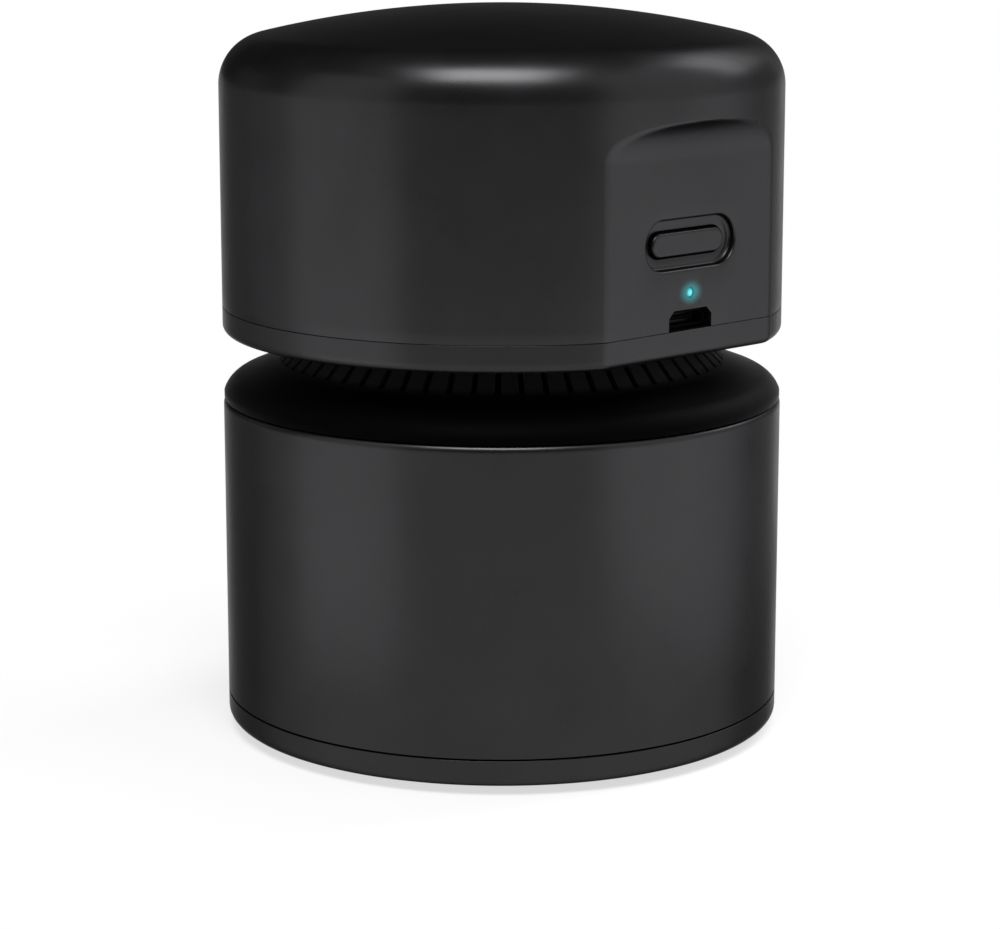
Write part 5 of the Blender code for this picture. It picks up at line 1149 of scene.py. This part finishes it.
def feet(materials):
    profile = rounded([
        (0.0, 0.0, 0.0),
        (FOOT_RADIUS, 0.0, 5 * SOFT),
        (FOOT_RADIUS, FOOT_TOP, SOFT),
        (0.0, FOOT_TOP, 0.0),
    ], 5)
    for i in range(4):
        node_name = f"foot_{i + 1}"
        at, _, _ = node_place(node_name)
        turned_piece("glide_" + node_name, profile, materials["rubber"], "cup_assembly", "rubber_black",
                     [node_name], FINE_COLUMNS, at)


# Brush

BRISTLES_IN_ROW = 44
BRISTLE_ROWS = 6
BRISTLE_ROW_PITCH = 0.27 * MM
BRISTLE_RADIUS = 0.075 * MM
BRISTLE_FOOT_LEVEL = 3.4 * MM
BRISTLE_TIP_LEVEL = 0.3 * MM
BRISTLE_TIP_SPREAD = 0.18 * MM
BRISTLE_SCATTER = 0.06 * MM
BRISTLE_LEAN = 0.12 * MM
BRISTLE_CORNERS = (0.0, 2.09, 4.19)
BRISTLE_SIDES = [(0, 1, 4, 3), (1, 2, 5, 4), (2, 0, 3, 5), (3, 4, 5)]


def bristle(rng, radius, angle):
    """A thin tapered bristle at about this place, leaning a little its own way."""
    r = radius + rng.uniform(-BRISTLE_SCATTER, BRISTLE_SCATTER)
    lean_x = rng.uniform(-BRISTLE_LEAN, BRISTLE_LEAN)
    lean_y = rng.uniform(-BRISTLE_LEAN, BRISTLE_LEAN)
    foot = (r * math.cos(angle), r * math.sin(angle), BRISTLE_FOOT_LEVEL)
    tip = (foot[0] + lean_x, foot[1] + lean_y, BRISTLE_TIP_LEVEL + rng.uniform(0.0, BRISTLE_TIP_SPREAD))
    turn = rng.uniform(0.0, 2.0)
    points = []
    for (x, y, z), share in ((foot, 1.0), (tip, 0.7)):
        thick = BRISTLE_RADIUS * share
        points += [(px, py, z) for px, py in arc((x, y), thick, [turn + a for a in BRISTLE_CORNERS])]
    return points, BRISTLE_SIDES


def brush(materials):
    """Backing strip and parted tufts of single bristles."""
    backing = turned_piece("brush_backing", rounded([
        (BRUSH_RADIUS + BRUSH_HALF_WIDTH, BRUSH_BACKING_TOP, SOFT),
        (BRUSH_RADIUS + BRUSH_HALF_WIDTH, BRUSH_BACKING_BOTTOM, SOFT),
        (BRUSH_RADIUS - BRUSH_HALF_WIDTH, BRUSH_BACKING_BOTTOM, SOFT),
        (BRUSH_RADIUS - BRUSH_HALF_WIDTH, BRUSH_BACKING_TOP, SOFT),
    ], 2), materials["bristle"], "cup_assembly", "bristle_black", ["brush_ring"], 192)
    weigh(backing)
    rng = random.Random(7)
    parting = math.asin(BRUSH_HALF_PARTING / BRUSH_RADIUS) + math.radians(0.3)
    sector = 2 * math.pi / TUFT_COUNT
    span = sector - 2 * parting
    parts = []
    for tuft in range(TUFT_COUNT):
        start = tuft * sector + parting
        for row in range(BRISTLE_ROWS):
            radius = BRUSH_RADIUS + (row - (BRISTLE_ROWS - 1) / 2) * BRISTLE_ROW_PITCH
            for k in range(BRISTLES_IN_ROW):
                angle = start + span * (k + 0.5 + rng.uniform(-0.3, 0.3)) / BRISTLES_IN_ROW
                parts.append(bristle(rng, radius, angle))
    new_piece("brush_bristles", *joined(parts), materials["bristle"], "cup_assembly", "bristle_black")


# Filter, button and lamp

def filter_pieces(materials):
    for name, node_name, steps, corners in (
        ("filter_end", "filter_cap", 4, [
            (0.0, FILTER_CAP_BOTTOM, 0.0),
            (FILTER_RADIUS, FILTER_CAP_BOTTOM, 4 * SOFT),
            (FILTER_RADIUS, FILTER_CAP_TOP, 4 * SOFT),
            (0.0, FILTER_CAP_TOP, 0.0),
        ]),
        ("filter_grip", "filter_ring", 4, [
            (FILTER_RADIUS, FILTER_RING_TOP, 2.5 * SOFT),
            (FILTER_RADIUS, FILTER_RING_BOTTOM, 2.5 * SOFT),
            (FILTER_HOLE_RADIUS, FILTER_RING_BOTTOM, 2.5 * SOFT),
            (FILTER_HOLE_RADIUS, FILTER_RING_STEP, 2.5 * SOFT),
            (FILTER_SOCKET_RADIUS, FILTER_RING_STEP, 0.0),
            (FILTER_SOCKET_RADIUS, FILTER_RING_TOP, 2.5 * SOFT),
        ]),
    ):
        turned_piece(name, rounded(corners, steps), materials["inner"], "filter_cartridge", "inner_black",
                     [node_name], 128)


def button_cap(materials):
    """Soft-edged button cap with its flange."""
    _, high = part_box("power_button")
    back = high[1]
    rings = [upright(stadium(*BUTTON_CAP, -BUTTON_EDGE_ROUND - 3.5 * SOFT), BUTTON_FRONT)]
    for inset, depth in quarter_round(BUTTON_EDGE_ROUND, 6):
        rings.append(upright(stadium(*BUTTON_CAP, -inset), BUTTON_FRONT + depth))
    rings.append(upright(stadium(*BUTTON_CAP), back - BUTTON_FLANGE))
    rings.append(upright(stadium(*BUTTON_CAP, BUTTON_FLANGE_REACH), back - BUTTON_FLANGE))
    rings.append(upright(stadium(*BUTTON_CAP, BUTTON_FLANGE_REACH), back))
    vertices, faces = loft(rings)
    width = len(rings[0])
    faces += [tuple(range(width)), tuple(range(len(vertices) - width, len(vertices)))]
    weigh(new_piece("button_cap", vertices, faces, materials["button"], "button", "button_black",
                    ["power_button"]))


def lamp_lens(materials):
    """The lamp's rounded lens with its foot."""
    low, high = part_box("light_pipe")
    flange_radius = (high[0] - low[0]) / 2
    length = high[1] - LAMP_FRONT
    profile = [
        (0.0, 0.0),
        (LAMP_RADIUS * 0.5, 0.2 * SOFT),
        (LAMP_RADIUS * 0.85, 0.7 * SOFT),
        (LAMP_RADIUS, 1.6 * SOFT),
        (LAMP_RADIUS, length - LAMP_FLANGE),
        (flange_radius, length - LAMP_FLANGE),
        (flange_radius, length),
        (0.0, length),
    ]
    rings = [upright(round_outline(r, LAMP_LEVEL), LAMP_FRONT + depth) for r, depth in profile]
    new_piece("lamp_lens", *loft(rings), materials["lamp"], "power_head", "lamp_cyan", ["light_pipe"])


def dress_nodes(materials):
    for kind, names in NODE_FINISHES.items():
        for name in names:
            mesh = frame["nodes"][name].data
            mesh.materials.clear()
            mesh.materials.append(materials[kind])


# Floor, lights and camera

def floor_material():
    """Pale floor, shown white, but less so near the object, and plain well in front of it."""
    made = bpy.data.materials.new("pale_floor")
    made.use_nodes = True
    tree = made.node_tree
    tree.nodes.clear()
    output = node(tree, "ShaderNodeOutputMaterial")
    plain = node(tree, "ShaderNodeBsdfDiffuse")
    plain.inputs["Color"].default_value = plain_colour(FLOOR_COLOUR)
    white = node(tree, "ShaderNodeEmission")
    white.inputs["Strength"].default_value = 1.0
    path = node(tree, "ShaderNodeLightPath")
    seen = combined(tree, "ADD", path.outputs["Is Camera Ray"], path.outputs["Is Glossy Ray"])
    seen = combined(tree, "ADD", seen, path.outputs["Is Transmission Ray"], clamp=True)
    away = vector_math(tree, "LENGTH", object_position(tree))["Value"]
    far = remap(tree, away, SHADE_NEAR, 1.0, *SHADE_REACH, "SMOOTHSTEP")
    direction = (math.cos(VIEW_DIRECTION), math.sin(VIEW_DIRECTION), 0.0)
    along = vector_math(tree, "DOT_PRODUCT", object_position(tree), direction)["Value"]
    swept = remap(tree, along, 0.0, 1.0, *SWEPT_REACH, "SMOOTHSTEP")
    share = combined(tree, "MULTIPLY", combined(tree, "MULTIPLY", far, swept), seen)
    mixed = node(tree, "ShaderNodeMixShader")
    tree.links.new(share, mixed.inputs["Fac"])
    tree.links.new(plain.outputs["BSDF"], mixed.inputs[1])
    tree.links.new(white.outputs["Emission"], mixed.inputs[2])
    tree.links.new(mixed.outputs["Shader"], output.inputs["Surface"])
    return made


def floor():
    vertices, faces = loft([circle(FLOOR_RADIUS * share, 0.0, FLOOR_COLUMNS) for share in FLOOR_RINGS])
    faces.append(tuple(range(FLOOR_COLUMNS)))
    mesh = bpy.data.meshes.new("floor")
    mesh.from_pydata(vertices, [], faces)
    add_object("floor", mesh)
    mesh.materials.append(floor_material())


def world():
    made = bpy.data.worlds.new("studio")
    made.use_nodes = True
    back = made.node_tree.nodes["Background"]
    back.inputs["Color"].default_value = plain_colour(WORLD_COLOUR)
    back.inputs["Strength"].default_value = 1.0
    bpy.context.scene.world = made


def area_light(name, width, height, brightness, place, target):
    """A soft box aimed at the target. At a brightness of 1 its face looks as bright as white."""
    light = bpy.data.lights.new(name, "AREA")
    light.shape = "RECTANGLE"
    light.size = width
    light.size_y = height
    light.energy = brightness * math.pi * width * height
    obj = add_object(name, light)
    obj.visible_camera = False
    obj.location = place
    obj.rotation_euler = (target - place).to_track_quat("-Z", "Y").to_euler()


def lights():
    towards_camera = VIEW_DIRECTION + math.pi
    target = Vector(LIGHT_TARGET)
    for name, (turn, elevation, distance, width, height, brightness) in TOP_LIGHTS.items():
        angle = towards_camera + math.radians(turn)
        rise = math.radians(elevation)
        away = Vector((math.cos(rise) * math.cos(angle), math.cos(rise) * math.sin(angle), math.sin(rise)))
        area_light(name, width, height, brightness, target + distance * away, target)
    for name, (turn, distance, low, high, width, brightness) in SIDE_LIGHTS.items():
        angle = towards_camera + math.radians(turn)
        place = Vector((distance * math.cos(angle), distance * math.sin(angle), (low + high) / 2))
        area_light(name, width, high - low, brightness, place, Vector((0.0, 0.0, place.z)))


def camera():
    made = bpy.data.cameras.new("camera")
    made.lens = CAMERA_LENS
    made.sensor_width = SENSOR_WIDTH
    made.shift_x, made.shift_y = CAMERA_SHIFT
    made.clip_start, made.clip_end = CAMERA_CLIP
    obj = add_object("camera", made)
    obj.location = CAMERA_PLACE
    obj.rotation_euler = (math.pi / 2 - CAMERA_PITCH, 0.0, VIEW_DIRECTION - math.pi / 2)
    bpy.context.scene.camera = obj


def build():
    materials = all_materials()
    head_shell(materials)
    head_base(materials)
    vent_shroud(materials)
    cup_pieces(materials)
    feet(materials)
    brush(materials)
    filter_pieces(materials)
    button_cap(materials)
    lamp_lens(materials)
    screws(materials)
    dress_nodes(materials)
    floor()
    world()
    lights()
    camera()
    bpy.context.scene.view_settings.view_transform = "Standard"


build()
